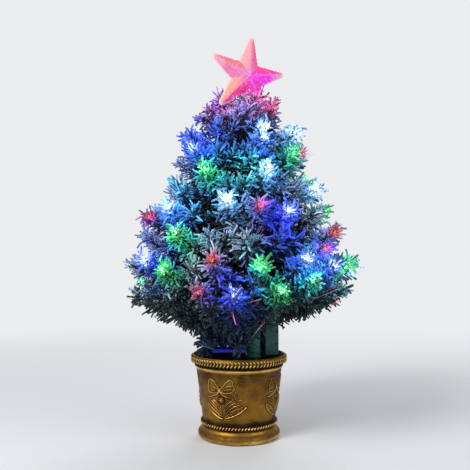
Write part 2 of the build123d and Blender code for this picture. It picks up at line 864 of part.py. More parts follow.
def make_taped_bundle():
    """Leads and fibres bound with tape: a rounded lower end and a ridge at each turn of the tape."""
    round_end = tape_r / 2
    turn = (tape_high_z - tape_low_z - 2 * round_end) / tape_turns
    inner = tape_r - tape_ridge
    points = [(0, tape_low_z), (inner - round_end, tape_low_z), (inner, tape_low_z + round_end)]
    for k in range(tape_turns):
        z = tape_low_z + round_end + turn * k
        points += [(tape_r, z + tape_ridge), (inner, z + turn)]
    points += [(inner - round_end, tape_high_z), (0, tape_high_z)]
    return Pos(tape_mid) * turned(points)


def box_at():
    """The box's own place: lid side towards the front and a little to the right."""
    return Pos(box_mid_x, box_mid_y, box_low_z) * Rot(0, 0, box_turn)


def make_box_case():
    case = Box(box_w, box_d, box_h, align=(Align.CENTER, Align.CENTER, Align.MIN))
    case = fillet(case.edges().filter_by(Axis.Z), box_wall)
    room = Pos(0, -box_wall, box_wall) * Box(box_w - 2 * box_wall, box_d, box_h - 2 * box_wall,
                                             align=(Align.CENTER, Align.CENTER, Align.MIN))
    return box_at() * (case - room)


def make_box_lid():
    lid = Pos(0, -box_d / 2, 0) * Box(box_w, lid_t, box_h, align=(Align.CENTER, Align.MAX, Align.MIN))
    lid = chamfer(lid.faces().sort_by(Axis.Y)[0].edges(), lid_t / 3)
    for place in lid_screw_places():
        lid -= place * Rot(90, 0, 0) * Cylinder(lid_screw_r + loose_gap, box_d)
    return box_at() * lid


def lid_screw_places():
    x = box_w / 2 - box_wall - lid_screw_r
    return [Pos(x, -box_d / 2, box_h / 2 + side * lid_screw_spread / 2) for side in (-1, 1)]


def make_lid_screws():
    pieces = []
    for place in lid_screw_places():
        head = Pos(0, -lid_t - lid_screw_proud, 0) * Rot(90, 0, 0) * Cylinder(
            lid_screw_r, lid_t + lid_screw_proud, align=(Align.CENTER, Align.CENTER, Align.MAX))
        pieces.append(box_at() * place * head)
    return pieces


def make_box_bracket():
    """A strap from the trunk's wrap to the box's back."""
    low = wrap_low_z + bracket_up
    reach = box_mid_x
    arm = Pos(0, box_d / 2, low) * Box(reach, bracket_t, bracket_h,
                                       align=(Align.MIN, Align.CENTER, Align.MIN))
    strap = arm - upright(wrap_r + loose_gap, low - cut_over, low + bracket_h + cut_over)
    back = Box(box_w + 2 * seat_gap, box_d + lid_t + 2 * seat_gap, box_h,
               align=(Align.CENTER, Align.CENTER, Align.MIN))
    return strap - box_at() * Pos(0, -lid_t / 2, 0) * back


# Branch layout
def outline_reach(share):
    """How far the needles reach at a height share, from the outline tables."""
    for k in range(1, len(outline_height_shares)):
        low, high = outline_height_shares[k - 1], outline_height_shares[k]
        if share <= high:
            step = max(0.0, (share - low) / (high - low))
            return foliage_r * between(outline_reach_shares[k - 1], outline_reach_shares[k], step)
    return foliage_r * outline_reach_shares[-1]


@dataclass
class Branch:
    tier: int
    azimuth: float
    root: Vector
    tip: Vector
    colour: str
    limit_r: float = brush_r

    def end(self):
        """The outer end of the branch, past its lamp where it has one."""
        past = lamp_holder_h + lamp_h if self.colour else 0
        return self.tip + (self.tip - self.root).normalized() * past


def height_at(share):
    return foliage_low_z + foliage_h * share


def turn_between(a, b):
    return (a - b + 180) % 360 - 180


def root_at(azimuth, z):
    """Where a wire leaves the trunk, or the tape round the trunk's foot."""
    return heading(azimuth, (wrap_r if z < wrap_high_z + wire_w else trunk_r) + wire_seat, z)


def sheltered(azimuth):
    """Whether an azimuth lies over the taped bundle and the box."""
    return abs(turn_between(azimuth, shelter_azimuth)) < shelter_half_angle


def lay_out_branches():
    """Every branch as a straight line from the trunk to its tip, its lamp's colour or none."""
    made = []
    for number, tier in enumerate(tiers):
        slots = []
        for k, azimuth in enumerate(around(tier.count, tier.first)):
            sway = height_sway / foliage_h * sin(height_sway_step * k + 2 * number)
            slots.append({"azimuth": azimuth + turn_sway * sin(turn_sway_step * k + number),
                          "share": tier.tip_share + sway, "colour": ""})
        for row, azimuth, share, colour in shown_lamps:
            if row == number:
                free = [slot for slot in slots if not slot["colour"]]
                slot = min(free, key=lambda s: abs(turn_between(s["azimuth"], azimuth)))
                slot.update(azimuth=azimuth, share=share, colour=colour)
        for k, slot in enumerate(slots):
            behind = abs(turn_between(slot["azimuth"], 0)) > front_half_angle
            if not slot["colour"] and behind and number != fringe_tier and k % 2 == number % 2:
                slot["colour"] = lamp_colours[(k // 2 + number) % len(lamp_colours)]
            root_share = tier.root_share
            if sheltered(slot["azimuth"]) and number <= 1:
                root_share = raised_root_share
            root_z = height_at(root_share) + root_step * (k % 2)
            reach = outline_reach(slot["share"]) - tip_inset
            if number != fringe_tier or not sheltered(slot["azimuth"]):
                made.append(Branch(number, slot["azimuth"], root_at(slot["azimuth"], root_z),
                                   heading(slot["azimuth"], reach, height_at(slot["share"])),
                                   slot["colour"]))
    return made


def fibre_line(azimuth, share):
    """A fibre's two ends, from the trunk to just past the needles."""
    reach = outline_reach(share) + fibre_over
    root_z = height_at(share) - reach * fibre_slope_share
    return root_at(azimuth, root_z), heading(azimuth, reach, height_at(share))


def fibre_room(line, branches):
    """How near a fibre comes to the branches, as a share of its distance from the tree's axis."""
    start, end = line
    points = [start + (end - start) * share for share in fibre_test_shares]
    return min(point_gap(point, branch.root, branch.end()) / point.project_to_plane(Plane.XY).length
               for point in points for branch in branches)


def lay_out_fibres(branches):
    """Loose fibres in a golden-angle spiral, each turned a little to where it has the most room."""
    made = []
    for k in range(fibres_loose):
        share = between(fibre_first_share, fibre_last_share, k / (fibres_loose - 1))
        azimuth = golden_turn * k
        tries = [fibre_line(azimuth + turn, share) for turn in fibre_turns]
        if not sheltered(azimuth) or share > raised_root_share + fibre_first_share:
            made.append(max(tries, key=lambda line: fibre_room(line, branches)))
    return made


def point_gap(point, start, end):
    """Distance from a point to a straight line between two ends."""
    along = end - start
    share = max(0.0, min(1.0, (point - start).dot(along) / along.dot(along)))
    return (point - (start + along * share)).length


def star_frame():
    """The star's own plane: X to its right, Y up its stem, Z out of its front."""
    place = Location(star_mid) * Location((0, 0, 0), (0, 0, star_turn)) * Location(
        (0, 0, 0), (0, star_lean, 0)) * Location((0, 0, 0), (90, 0, 0))
    return Plane(place)


def star_tip(k):
    angle = radians(90 + 360 * k / star_arms)
    return star_frame().from_local_coords(Vector(star_r * cos(angle), star_r * sin(angle), 0))


def fixed_shapes():
    """What the needles keep clear of: lines with a radius."""
    column = [(Vector(0, 0, trunk_low_z), Vector(0, 0, wrap_high_z), wrap_r),
              (Vector(0, 0, wrap_high_z), Vector(0, 0, trunk_top_z), trunk_r)]
    tape = [(tape_mid + Vector(0, 0, tape_low_z), tape_mid + Vector(0, 0, tape_high_z - tape_r / 2),
             tape_r)]
    half = box_w / 2 + lid_t
    corner = Vector(box_mid_x, box_mid_y, 0)
    box = [(corner + Vector(0, 0, box_low_z), corner + Vector(0, 0, box_low_z + box_h - half / 2), half)]
    arms = [(Vector(*star_mid), star_tip(k), star_half_t) for k in range(star_arms)]
    bend = Vector(0, 0, leader_bend_z)
    stem = [(bend, Vector(*star_mid), star_socket_wall + 2 * peg_r)]
    return column + tape + box + arms + stem


def room_at(point, own, lines, shapes):
    """The largest radius round a point on one branch that stays clear of all else."""
    room = own.limit_r
    for line in lines:
        if line is not own:
            room = min(room, point_gap(point, line.root, line.end()) / 2 - brush_gap)
    for start, end, r in shapes:
        room = min(room, point_gap(point, start, end) - r - brush_gap)
    rim_room = point.Z - rim_top_z - brush_gap
    return min(room, rim_room)


# Branch solids
def across(axis):
    """Two directions square to an axis."""
    side = axis.cross(Vector(0, 0, 1)).normalized()
    return side, side.cross(axis).normalized()


def ring(centre, axis, r, sides):
    u, v = across(axis)
    return [centre + u * (r * cos(2 * pi * k / sides)) + v * (r * sin(2 * pi * k / sides))
            for k in range(sides)]


def prism(start, end, w, sides=4):
    """A straight bar with flat sides between two points."""
    axis = (end - start).normalized()
    low, high = ring(start, axis, w / 2, sides), ring(end, axis, w / 2, sides)
    faces = [(low, []), (high, [])]
    for k in range(sides):
        j = (k + 1) % sides
        faces.append(([low[k], low[j], high[j], high[k]], []))
    return polyhedron(faces)


def strand(quad, axis, out_r, centre_line):
    """A needle strand on a core face: its four sides, and the small outline that it stands on."""
    a, b, c, d = quad
    mid = (a + b + c + d) * 0.25
    along = ((c + d) - (a + b)).normalized()
    side = (b - a).normalized()
    half_w = min(strand_half_w, (c - d).length / 4, (b - a).length / 4)
    half_l = min(strand_half_l, ((c + d) - (a + b)).length / 8)
    foot = [mid - side * half_w - along * half_l, mid + side * half_w - along * half_l,
            mid + side * half_w + along * half_l, mid - side * half_w + along * half_l]
    start = centre_line(mid)
    out = (mid - start).normalized()
    apex = start + axis * strand_lean + out * out_r
    return foot, [([foot[k], foot[(k + 1) % 4], apex], []) for k in range(4)]


def make_brush(branch, lines, shapes):
    """A tapering six-sided core of packed needles with single strands standing out of it."""
    axis = (branch.tip - branch.root).normalized()
    length = (branch.tip - branch.root).length
    step = strand_half_w
    from_root = next((step * k for k in range(1, ceil(length / step))
                      if (branch.root + axis * (step * k)).project_to_plane(Plane.XY).length > brush_from_r
                      and room_at(branch.root + axis * (step * k), branch, lines, shapes) > brush_least_r),
                     length / 2)
    start, rings, rooms = branch.root + axis * from_root, [], []
    for share, core in zip(station_shares, station_core_shares):
        point = start + axis * ((length - from_root) * share)
        room = max(brush_least_r, room_at(point, branch, lines, shapes))
        rooms.append(room)
        rings.append(ring(point, axis, room * core * core_share, brush_sides))
    faces = [(rings[0], []), (rings[-1], [])]
    for band in range(len(rings) - 1):
        low, high = rings[band], rings[band + 1]
        for k in range(brush_sides):
            j = (k + 1) % brush_sides
            quad, holes = [low[k], low[j], high[j], high[k]], []
            if (band, k) in strand_faces:
                out_r = min(rooms[band], rooms[band + 1]) * strand_out_share
                foot, sides = strand(quad, axis, out_r,
                                     lambda p: branch.root + axis * (p - branch.root).dot(axis))
                holes = [foot]
                faces += sides
            faces.append((quad, holes))
    wire = prism(branch.root, start, wire_w)
    return polyhedron(faces), wire


def make_lamp(branch):
    """A holder on the brush's end face and a round-headed lamp on the holder."""
    at = Plane(origin=branch.tip, z_dir=(branch.tip - branch.root).normalized())
    holder = Cylinder(lamp_holder_r, lamp_holder_h, align=(Align.CENTER, Align.CENTER, Align.MIN))
    head = Cylinder(lamp_r, lamp_h, align=(Align.CENTER, Align.CENTER, Align.MIN))
    head = fillet(head.edges().sort_by(Axis.Z)[-1], lamp_dome_r)
    return at * holder, at * Pos(0, 0, lamp_holder_h) * head


# Star on its stem
def star_outline(r, valley_r, blunt):
    """Tip and valley points round the star, each tip cut square by its blunt width."""
    points = []
    for k in range(star_arms):
        angle = radians(90 + 360 * k / star_arms)
        tip = Vector(cos(angle), sin(angle))
        side = Vector(-sin(angle), cos(angle))
        points.append([tip * r - side * (blunt / 2), tip * r + side * (blunt / 2)])
        angle += pi / star_arms
        points.append([Vector(valley_r * cos(angle), valley_r * sin(angle))])
    return points


def star_half(sign):
    """One hollow shell of the star, its ridges running from the middle to the tips."""
    def surface(r, valley_r, edge, height, blunt):
        groups = star_outline(r, valley_r, blunt)
        flat = [p for group in groups for p in group]
        rim = [Vector(p.X, p.Y, sign * edge) for p in flat]
        base = [Vector(p.X, p.Y, 0) for p in flat]
        walls = [([base[k], base[(k + 1) % len(flat)], rim[(k + 1) % len(flat)], rim[k]], [])
                 for k in range(len(flat))]
        top = Vector(0, 0, sign * height)
        slopes = []
        for k in range(len(flat)):
            slopes.append(([rim[k], rim[(k + 1) % len(flat)], top], []))
        return base, walls + slopes
    base_out, outside = surface(star_r, star_valley_r, star_edge, star_half_t, star_blunt)
    inner_r = star_r - star_inset
    base_in, inside = surface(inner_r, star_valley_r - star_wall, star_edge - star_wall / 2,
                              star_half_t - star_wall, star_blunt / 2)
    shell = polyhedron([(base_out, [base_in])] + outside + inside)
    stem_room = Pos(0, -star_valley_r, 0) * Rot(90, 0, 0) * Cylinder(
        peg_r + running_gap + star_socket_wall + loose_gap, star_valley_r)
    return star_frame() * (shell - stem_room)


def along_stem(r, low, high):
    """A round bar on the star's stem, between two distances up from the star's middle."""
    bar = Cylinder(r, high - low, align=(Align.CENTER, Align.CENTER, Align.MIN))
    return star_frame() * Pos(0, low, 0) * Rot(-90, 0, 0) * bar


def make_star_socket():
    bore = peg_r + running_gap
    tube = along_stem(bore + star_socket_wall, -star_socket_low, -star_socket_high)
    return tube - along_stem(bore, -star_socket_low - cut_over, -star_socket_low + peg_in)


def make_star_lamp():
    lamp = along_stem(star_lamp_r, -star_socket_high, -star_socket_high + star_lamp_h)
    return lamp


def make_leader():
    """The bent wire from the trunk's top to the star's stem."""
    stem_low = star_frame().from_local_coords(Vector(0, -star_socket_low, 0))
    stem_dir = (star_frame().from_local_coords(Vector(0, 1, 0)) - Vector(*star_mid)).normalized()
    bend = Vector(0, 0, leader_bend_z)
    wire = Solid.make_cylinder(peg_r, (stem_low - bend).length, Plane(bend, z_dir=(stem_low - bend)))
    peg = Solid.make_cylinder(peg_r, peg_in - seat_gap, Plane(stem_low, z_dir=stem_dir))
    knee = Pos(stem_low) * Sphere(peg_r)
    foot = upright(peg_r, trunk_top_z, leader_bend_z) + Pos(bend) * Sphere(peg_r)
    plug = upright(trunk_r - trunk_wall - loose_gap, trunk_top_z - leader_plug_h, trunk_top_z)
    return plug + foot + wire + knee + peg


# Build and write every node
parts = {}
os.makedirs("parts", exist_ok=True)

save("pot_shell", make_pot())
save("base_cover", make_base_cover())
save("base_screws", make_base_screws())
save("deck", make_deck())
save("deck_screws", make_deck_screws())
save("trunk_socket", make_socket())
save("deck_receptacle", make_receptacle())
save("lamp_holder", make_lamp_holder())
save("lamp_bulb", make_lamp_bulb())
save("lamp_reflector", make_reflector())
save("lamp_glass", make_lamp_glass())
save("wheel_motor", make_motor())
save("motor_screws", make_motor_screws())
save("motor_shaft", make_motor_shaft())
save("wheel_frame", make_wheel_frame())
for index, colour in enumerate(filters):
    save(f"filter_{colour}", make_filter(index))
save("wheel_clip", make_wheel_clip())
save("control_board", make_board())
save("board_parts", make_board_parts())
save("power_jack", make_jack())
save("switch_case", make_switch_case())
save("switch_rocker", make_rocker())
save("inner_leads", make_inner_leads())

save("trunk_tube", make_trunk())
save("fibre_ferrule", make_ferrule())
save("fibre_bundle", make_fibre_bundle())
save("trunk_wrap", make_trunk_wrap())
save("taped_bundle", make_taped_bundle())
save("box_case", make_box_case())
save("box_lid", make_box_lid())
save("lid_screws", make_lid_screws())
save("box_bracket", make_box_bracket())
save("lamp_plug", make_lamp_plug())

branches = lay_out_branches()
fibres = [Branch(-1, 0.0, root, tip, "") for root, tip in lay_out_fibres(branches)]
shapes = fixed_shapes()
strands_made = 0
wires = {group: [] for group in wire_groups}
for number in range(len(tiers)):
    row = [branch for branch in branches if branch.tier == number]
    made = [make_brush(branch, branches + fibres, shapes) for branch in row]
    strands_made += len(strand_faces) * len(row)
    save(f"needles_tier_{number}", [brush for brush, wire in made])
    wires[wire_groups[number]] += [wire for brush, wire in made]
for group, made in wires.items():
    save(f"branch_wires_{group}", made)
lamps = [(branch.colour, *make_lamp(branch)) for branch in branches if branch.colour]
save("lamp_sockets", [holder for colour, holder, head in lamps])
for shade in lamp_colours:
    save(f"lamps_{shade}", [head for colour, holder, head in lamps if colour == shade])
save("loose_fibres", [prism(fibre.root, fibre.tip, fibre_w, 3) for fibre in fibres])

save("star_front", star_half(1))
save("star_back", star_half(-1))
save("star_socket", make_star_socket())
save("star_lamp", make_star_lamp())
save("star_leader", make_leader())

print("nodes", len(parts), "branches", len(branches), "strands", strands_made, "lamps", len(lamps))
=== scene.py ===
from collections import namedtuple
from math import cos, pi, radians, sin

import bpy
import numpy as np
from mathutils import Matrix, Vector
from mathutils.bvhtree import BVHTree


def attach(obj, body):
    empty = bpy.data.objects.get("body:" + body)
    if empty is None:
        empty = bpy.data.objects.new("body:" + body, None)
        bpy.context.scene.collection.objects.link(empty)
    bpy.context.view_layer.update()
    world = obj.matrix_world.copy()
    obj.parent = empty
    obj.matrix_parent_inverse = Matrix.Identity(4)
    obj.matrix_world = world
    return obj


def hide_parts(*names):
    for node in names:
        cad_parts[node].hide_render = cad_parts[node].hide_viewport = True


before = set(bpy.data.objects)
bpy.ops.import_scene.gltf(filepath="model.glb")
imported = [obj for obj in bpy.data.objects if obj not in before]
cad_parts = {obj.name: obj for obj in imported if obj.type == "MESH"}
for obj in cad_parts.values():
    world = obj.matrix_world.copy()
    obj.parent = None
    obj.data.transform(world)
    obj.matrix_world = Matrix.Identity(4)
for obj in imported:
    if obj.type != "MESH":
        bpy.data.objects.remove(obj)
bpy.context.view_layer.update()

# Fibre optic christmas tree. Metres, +Z up along the trunk, front towards -Y. Azimuths are degrees
# from the front, to the right. Colours are linear.
MM = 0.001
weld_grid = 0.001 * MM

# Camera, fitted to the pot's ellipses and the star
camera_height = 260.1 * MM
camera_distance = 903.1 * MM
camera_side = -5.9 * MM
camera_tilt = 2.43
focal_pixels = 596.2
picture_pixels = 470
sensor_width = 36.0

# Studio: floor, background, and each light's place, size and power
floor_r, floor_sides = 6.0, 64
floor_colour, floor_roughness, floor_fade = (0.74, 0.75, 0.77), 0.9, (0.35, 1.6)
background_colour = (0.97, 0.98, 1.0)
background_strength, world_strength = 0.86, 0.32
light_aim = (0, 0, 280.0 * MM)
studio_lights = {"key": ((-1.2, -1.2, 1.4), 0.9, 34), "fill": ((1.3, -0.8, 0.9), 1.0, 7),
                 "back": ((0.4, 1.4, 1.3), 0.9, 12)}

# Pot
pot_height = 121.0 * MM
wall_low_r, wall_low_z = 53.9 * MM, 25.6 * MM
wall_high_r, wall_high_z = 64.0 * MM, 102.0 * MM
wall_slope = (wall_high_r - wall_low_r) / (wall_high_z - wall_low_z)
rim_band_r, rim_band_z = 71.2 * MM, 114.8 * MM
inside_gap, inside_edge = 1.1 * MM, 0.3 * MM
inside_rim_r, inside_rim_z, inside_rim_slope = 63.8 * MM, 109.0 * MM, 0.35

# Leaves round the rim and grains of the rope ring, with their length, width and height
leaf_size = (6.4 * MM, 2.3 * MM, 1.1 * MM)
leaf_count, leaf_tilt = 84, 38.0
leaf_sink, leaf_row_share = 0.4 * MM, 0.36
rope_size = (6.2 * MM, 2.5 * MM, 2.2 * MM)
rope_count, rope_tilt = 76, -38.0
rope_r, rope_z = 55.6 * MM, 22.6 * MM
grain_segments, grain_rings = 8, 6
grain_worn, grain_hollow = 1.15, 0.05

# Reliefs on the wall, with their reach in millimetres
bell_azimuths = (-23.0, 67.0, 157.0, 247.0)
bell_mid_z = 76.0 * MM
bell_grid = 0.55 * MM
bell_reach = ((-31.0, 40.0), (-43.0, 19.0))
bell_sink, bell_back = 0.35 * MM, 1.2 * MM
rounded_steps = 8

# Bells and bow: lines in millimetres right of a relief's middle and above the bow's knot
bow_left = ((-4.5, 1.5), (-9.0, 8.5), (-13.6, 13.1), (-19.5, 15.8), (-21.6, 12.0), (-23.3, 5.0),
            (-22.6, -2.8), (-17.0, -4.0), (-9.5, -3.2), (-4.5, -1.5))
bow_right = ((-4.5, 1.5), (0.5, 6.0), (4.5, 11.0), (10.2, 15.6), (14.2, 15.0), (15.2, 9.9),
             (17.2, 3.2), (12.4, -1.6), (4.0, -2.8), (-4.5, -1.5))
bell_left = ((-12.0, -11.0), (-19.0, -13.8), (-27.5, -20.0), (-24.5, -27.0), (-17.5, -33.4), (-9.0, -38.0),
             (-1.0, -40.2), (-0.6, -32.0), (-3.4, -22.0), (-7.5, -14.0))
bell_right = ((4.0, -11.5), (12.5, -10.5), (21.0, -12.8), (29.0, -17.0), (34.6, -22.6), (28.0, -28.6),
              (19.8, -33.4), (10.5, -37.2), (1.6, -39.0), (0.4, -32.0), (1.0, -21.0))
# Shapes that rise out of the wall: outline, rise at its edge, and dome
raised_shapes = ((bow_left, 0.6, 0.3), (bow_right, 0.6, 0.3), (bell_left, 0.75, 1.0), (bell_right, 0.75, 1.0))
# Raised lines: points, width and height
raised_lines = (
    (bow_left, 0.75, 1.25), (bow_right, 0.75, 1.25),
    (((-23.0, 4.6), (-15.0, 5.4), (-6.5, 1.2)), 0.6, 1.1),
    (((-12.0, 12.6), (-9.5, 6.5), (-5.5, 1.6)), 0.6, 1.1),
    (((15.0, 8.6), (7.5, 7.0), (-2.0, 1.4)), 0.6, 1.1),
    (((17.0, 3.4), (8.0, 2.4), (-2.0, 0.0)), 0.6, 1.1),
    (((-6.0, -2.6), (-10.5, -6.0), (-16.0, -7.4), (-21.0, -10.2), (-25.6, -10.0)), 1.1, 1.3),
    (((-3.0, -2.8), (1.5, -6.4), (6.5, -8.0), (11.5, -9.8)), 1.0, 1.3),
    (((13.5, -2.0), (17.8, -5.5), (19.0, -10.5), (24.5, -12.6), (28.0, -11.4)), 0.8, 1.2),
    (((18.0, 4.0), (19.6, -1.0), (18.4, -5.0)), 0.7, 1.1),
    (((-27.5, -20.0), (-24.5, -27.0), (-17.5, -33.4), (-9.0, -38.0), (-1.0, -40.2)), 0.9, 1.9),
    (((34.6, -22.6), (28.0, -28.6), (19.8, -33.4), (10.5, -37.2), (1.6, -39.0)), 0.9, 1.9),
    (((-23.5, -16.6), (-15.0, -22.0), (-7.5, -28.0), (-1.8, -34.0)), 0.55, 1.7),
    (((-19.6, -14.6), (-12.6, -19.6), (-6.6, -24.6), (-2.0, -30.0)), 0.55, 1.7),
    (((-15.8, -12.8), (-9.8, -17.0), (-5.0, -21.4), (-2.2, -26.0)), 0.55, 1.7),
    (((-25.6, -20.6), (-17.6, -26.2), (-9.8, -31.6), (-1.6, -36.8)), 0.55, 1.7),
    (((0.6, -30.0), (4.0, -22.4), (8.8, -16.6), (14.0, -12.6)), 0.55, 1.7),
    (((1.0, -33.0), (6.2, -24.8), (12.6, -18.8), (20.0, -15.0)), 0.55, 1.7),
    (((1.6, -35.4), (8.8, -27.2), (17.0, -21.4), (26.0, -18.0)), 0.55, 1.7),
    (((2.4, -37.0), (11.6, -29.6), (21.0, -24.8), (31.6, -21.4)), 0.55, 1.7),
)
# Rows of raised dots: count, first place, step to the next, radius and height
dot_rows = ((5, (7.6, -35.2), (5.2, 2.3), 0.75, 1.6), (4, (-7.0, -35.6), (-4.8, 3.4), 0.75, 1.6),
            (5, (32.5, -17.5), (0.0, -2.6), 0.6, 0.8), (5, (34.9, -18.8), (0.0, -2.6), 0.6, 0.8),
            (5, (37.3, -17.5), (0.0, -2.6), 0.6, 0.8))
# Knots: place, radius, height and groove
knots = ((-4.7, 0.0, 2.4, 1.7, 0.6), (-2.8, -13.2, 2.6, 1.3, 0.35))

# How the reliefs rise, in millimetres, and how bright their gold is worn
bell_rise, bell_edges, dome_width = 0.25, (-0.4, 0.8), 8.0
ridge_width_share, crest_share, groove_share = 0.78, 0.85, 0.5
groove_at, groove_spread = 2.1, 0.85
strip_edges, strip_raised = (2.2, 3.2), 0.45
worn_least, worn_base, worn_crest, worn_groove, crest_most = 0.36, 0.05, 0.36, 0.60, 1.2

# Noise patterns of the finishes: how fine they are, and how they stretch along each axis
Pattern = namedtuple("Pattern", "scale detail roughness stretch", defaults=(2.0, 0.5, (1, 1, 1)))
gold_patches = Pattern(45.0, 5.0, 0.6)
gold_streaks = Pattern(120.0, 3.0, stretch=(1, 1, 9))
gold_specks = Pattern(1500.0, 1.0)
plastic_grain = Pattern(2200.0, 1.0)
plastic_flow = Pattern(55.0, 3.0, stretch=(1, 1, 3))
metal_lines = Pattern(300.0, stretch=(1, 1, 14))
metal_tarnish = Pattern(130.0, 4.0)
tape_wrinkles = Pattern(160.0, 4.0, stretch=(1, 1, 0.35))
board_mottle = Pattern(600.0)
film_clouds = Pattern(90.0, 3.0)
film_smears = Pattern(220.0, 3.0)
needle_grain = Pattern(1100.0)
needle_patches = Pattern(22.0, 3.0)
needle_clumps = Pattern(85.0)
needle_flecks = Pattern(290.0, 1.0)
lens_grain = Pattern(900.0)
fibre_mottle = Pattern(500.0)

# Strength and depth of each finish's bump
grain_strength, gold_strength, grain_depth = 0.3, 0.4, 0.15 * MM
tape_bump, wire_bump, board_bump = (0.8, 0.7 * MM), (0.7, 0.4 * MM), (0.3, 0.1 * MM)
needle_bump, star_bump = (0.6, 0.4 * MM), (0.35, 0.3 * MM)

# Antique gold
gold_metal, gold_roughness = 0.85, (0.62, 0.34)
gold_patina, gold_body, gold_bright = (0.026, 0.012, 0.004), (0.285, 0.140, 0.017), (0.88, 0.58, 0.17)
gold_body_levels, gold_bright_levels = (0.05, 0.60), (0.55, 1.0)
gold_swings, gold_speck_share = (0.75, 0.35, 0.20), 0.4
# pot_inside_shade is painted shade: the near-black blue of the hollow inside the pot's wall
pot_inside_shade = (0.006, 0.008, 0.014)
gold_band_shares = ((0.0, 0.46), (0.035, 0.74), (0.075, 0.34), (0.12, 0.62), (0.155, 0.04), (0.19, 0.05),
                    (0.23, 0.10), (0.30, 0.42), (0.60, 0.38), (0.82, 0.26), (0.855, 0.90), (0.885, 0.02),
                    (0.92, 0.10), (0.97, 0.34), (1.0, 0.85))

# Plastic, metal, clear parts, tape, board and wire
plastic_dull, plastic_dull_share, plastic_swing = (0.35, 0.36, 0.38), 0.45, 0.35
metal_dark, tarnish_levels, metal_roughening = (0.62, 0.58, 0.52), (0.5, 0.75), 0.16
clear_index, clear_dark_share, smear_levels, smear_roughening = 1.49, 0.85, (0.2, 0.9), 0.15
tape_roughness, tape_slant, tape_edge_share, tape_shadow = 0.42, 0.35, 0.12, (0.45, 0.45, 0.45)
board_greens, board_track = ((0.015, 0.14, 0.06), (0.02, 0.17, 0.07)), (0.10, 0.30, 0.12)
board_scale, board_track_width, board_roughness = 160.0, 0.03, (0.35, 0.6)
wire_colour, wire_roughness, wire_coat = (0.012, 0.055, 0.032), 0.4, 0.2
wire_scale, wire_distortion = 180.0, 2.0

# Finishes of CAD nodes: colour, roughness, coat and nodes
moulded_finishes = {
    "base black": ((0.018, 0.019, 0.022), 0.5, 0.0, ["base_cover"]),
    "deck black": ((0.010, 0.014, 0.028), 0.42, 0.0, ["deck", "trunk_socket"]),
    "connector black": ((0.022, 0.022, 0.024), 0.36, 0.0,
                        ["deck_receptacle", "lamp_plug", "power_jack", "switch_case", "inner_leads"]),
    "rocker black": ((0.030, 0.030, 0.032), 0.25, 0.3, ["switch_rocker"]),
    "glazed ceramic": ((0.80, 0.77, 0.70), 0.35, 0.0, ["lamp_holder"]),
    "component black": ((0.035, 0.035, 0.040), 0.30, 0.0, ["board_parts"]),
    "wheel white": ((0.76, 0.76, 0.73), 0.45, 0.0, ["wheel_frame"]),
    "trunk green": ((0.014, 0.070, 0.042), 0.42, 0.15, ["trunk_tube", "star_leader"]),
    "box green": ((0.003, 0.082, 0.075), 0.50, 0.0, ["box_case", "box_lid", "box_bracket"]),
    "socket green": ((0.03, 0.13, 0.09), 0.4, 0.0, ["lamp_sockets"]),
}
# Bare metal: colour, roughness and nodes
metal_finishes = {
    "zinc screws": ((0.58, 0.57, 0.54), 0.30, ["base_screws", "deck_screws", "motor_screws"]),
    "blackened screws": ((0.035, 0.045, 0.045), 0.40, ["lid_screws"]),
    "bright reflector": ((0.86, 0.86, 0.87), 0.10, ["lamp_reflector"]),
    "motor steel": ((0.60, 0.60, 0.61), 0.28, ["wheel_motor", "motor_shaft", "wheel_clip"]),
    "brass ferrule": ((0.76, 0.56, 0.24), 0.25, ["fibre_ferrule"]),
}
# Glass, films and clear plastic: colour, roughness, transmission and nodes
clear_finishes = {
    "lamp quartz": ((0.95, 0.97, 0.98), 0.03, 0.85, ["lamp_bulb", "lamp_glass"]),
    "red film": ((0.90, 0.06, 0.05), 0.12, 0.7, ["filter_red"]),
    "green film": ((0.06, 0.72, 0.16), 0.12, 0.7, ["filter_green"]),
    "blue film": ((0.06, 0.14, 0.90), 0.12, 0.7, ["filter_blue"]),
    "amber film": ((0.95, 0.55, 0.06), 0.12, 0.7, ["filter_amber"]),
    "fibre bundle": ((0.80, 0.86, 0.92), 0.2, 0.5, ["fibre_bundle"]),
    "star stem": ((0.92, 0.92, 0.95), 0.1, 0.85, ["star_socket"]),
}
# Wrapped tape: colour, rise of each turn and nodes
tape_finishes = {
    "trunk tape": ((0.010, 0.075, 0.060), 15.0 * MM, ["trunk_wrap"]),
    "bundle tape": ((0.004, 0.125, 0.108), 11.0 * MM, ["taped_bundle"]),
}
wire_nodes = ["branch_wires_low", "branch_wires_middle", "branch_wires_high"]

# Needles: a brush of curled strands along each branch and along its side sprigs
needle_length, needle_width, needle_spacing = 22.0 * MM, 3.0 * MM, 0.56 * MM
needle_length_shares, needle_width_shares = (0.50, 1.18), (0.60, 1.32)
needle_sides, needle_steps = 3, 4
needle_lean, needle_tip_lean, needle_lean_sway = 64.0, 20.0, 15.0
needle_tip_from_share = 0.72
needle_curls = (0.05, 0.22, 0.42, 0.60)
needle_middle_share, needle_droop_share = 0.62, 0.35
needle_swell_shares = ((0.0, 0.34), (0.78, 1.0), (1.0, 0.86))
golden_turn, turn_sway = 137.5, 0.7
needle_chances = {"turn": 1, "lean": 2, "rise": 3, "frost": 4, "shape": 5, "length": 6, "curl": 7, "tone": 8,
                  "width": 9}
brush_short_of_tip = 7.5 * MM
brush_bend, fringe_bend, brush_steps = 3.5 * MM, 9.0 * MM, 5
sprig_shares, sprig_first_share = (0.30, 0.50, 0.70), 0.3
sprig_angle, sprig_tilts = 46.0, (-0.55, 0.75)
sprig_length, sprig_room = 34.0 * MM, 17.0 * MM
sprig_length_shares, sprig_least_share, sprig_tries = (0.8, 1.1), 0.3, 8
stem_width, strand_sides = 1.9 * MM, 5
tier_names = [f"needles_tier_{number}" for number in range(10)]
tier_length_shares = (0.86, 0.98, 1.0, 1.0, 1.0, 1.0, 0.95, 0.92, 0.92, 1.0)
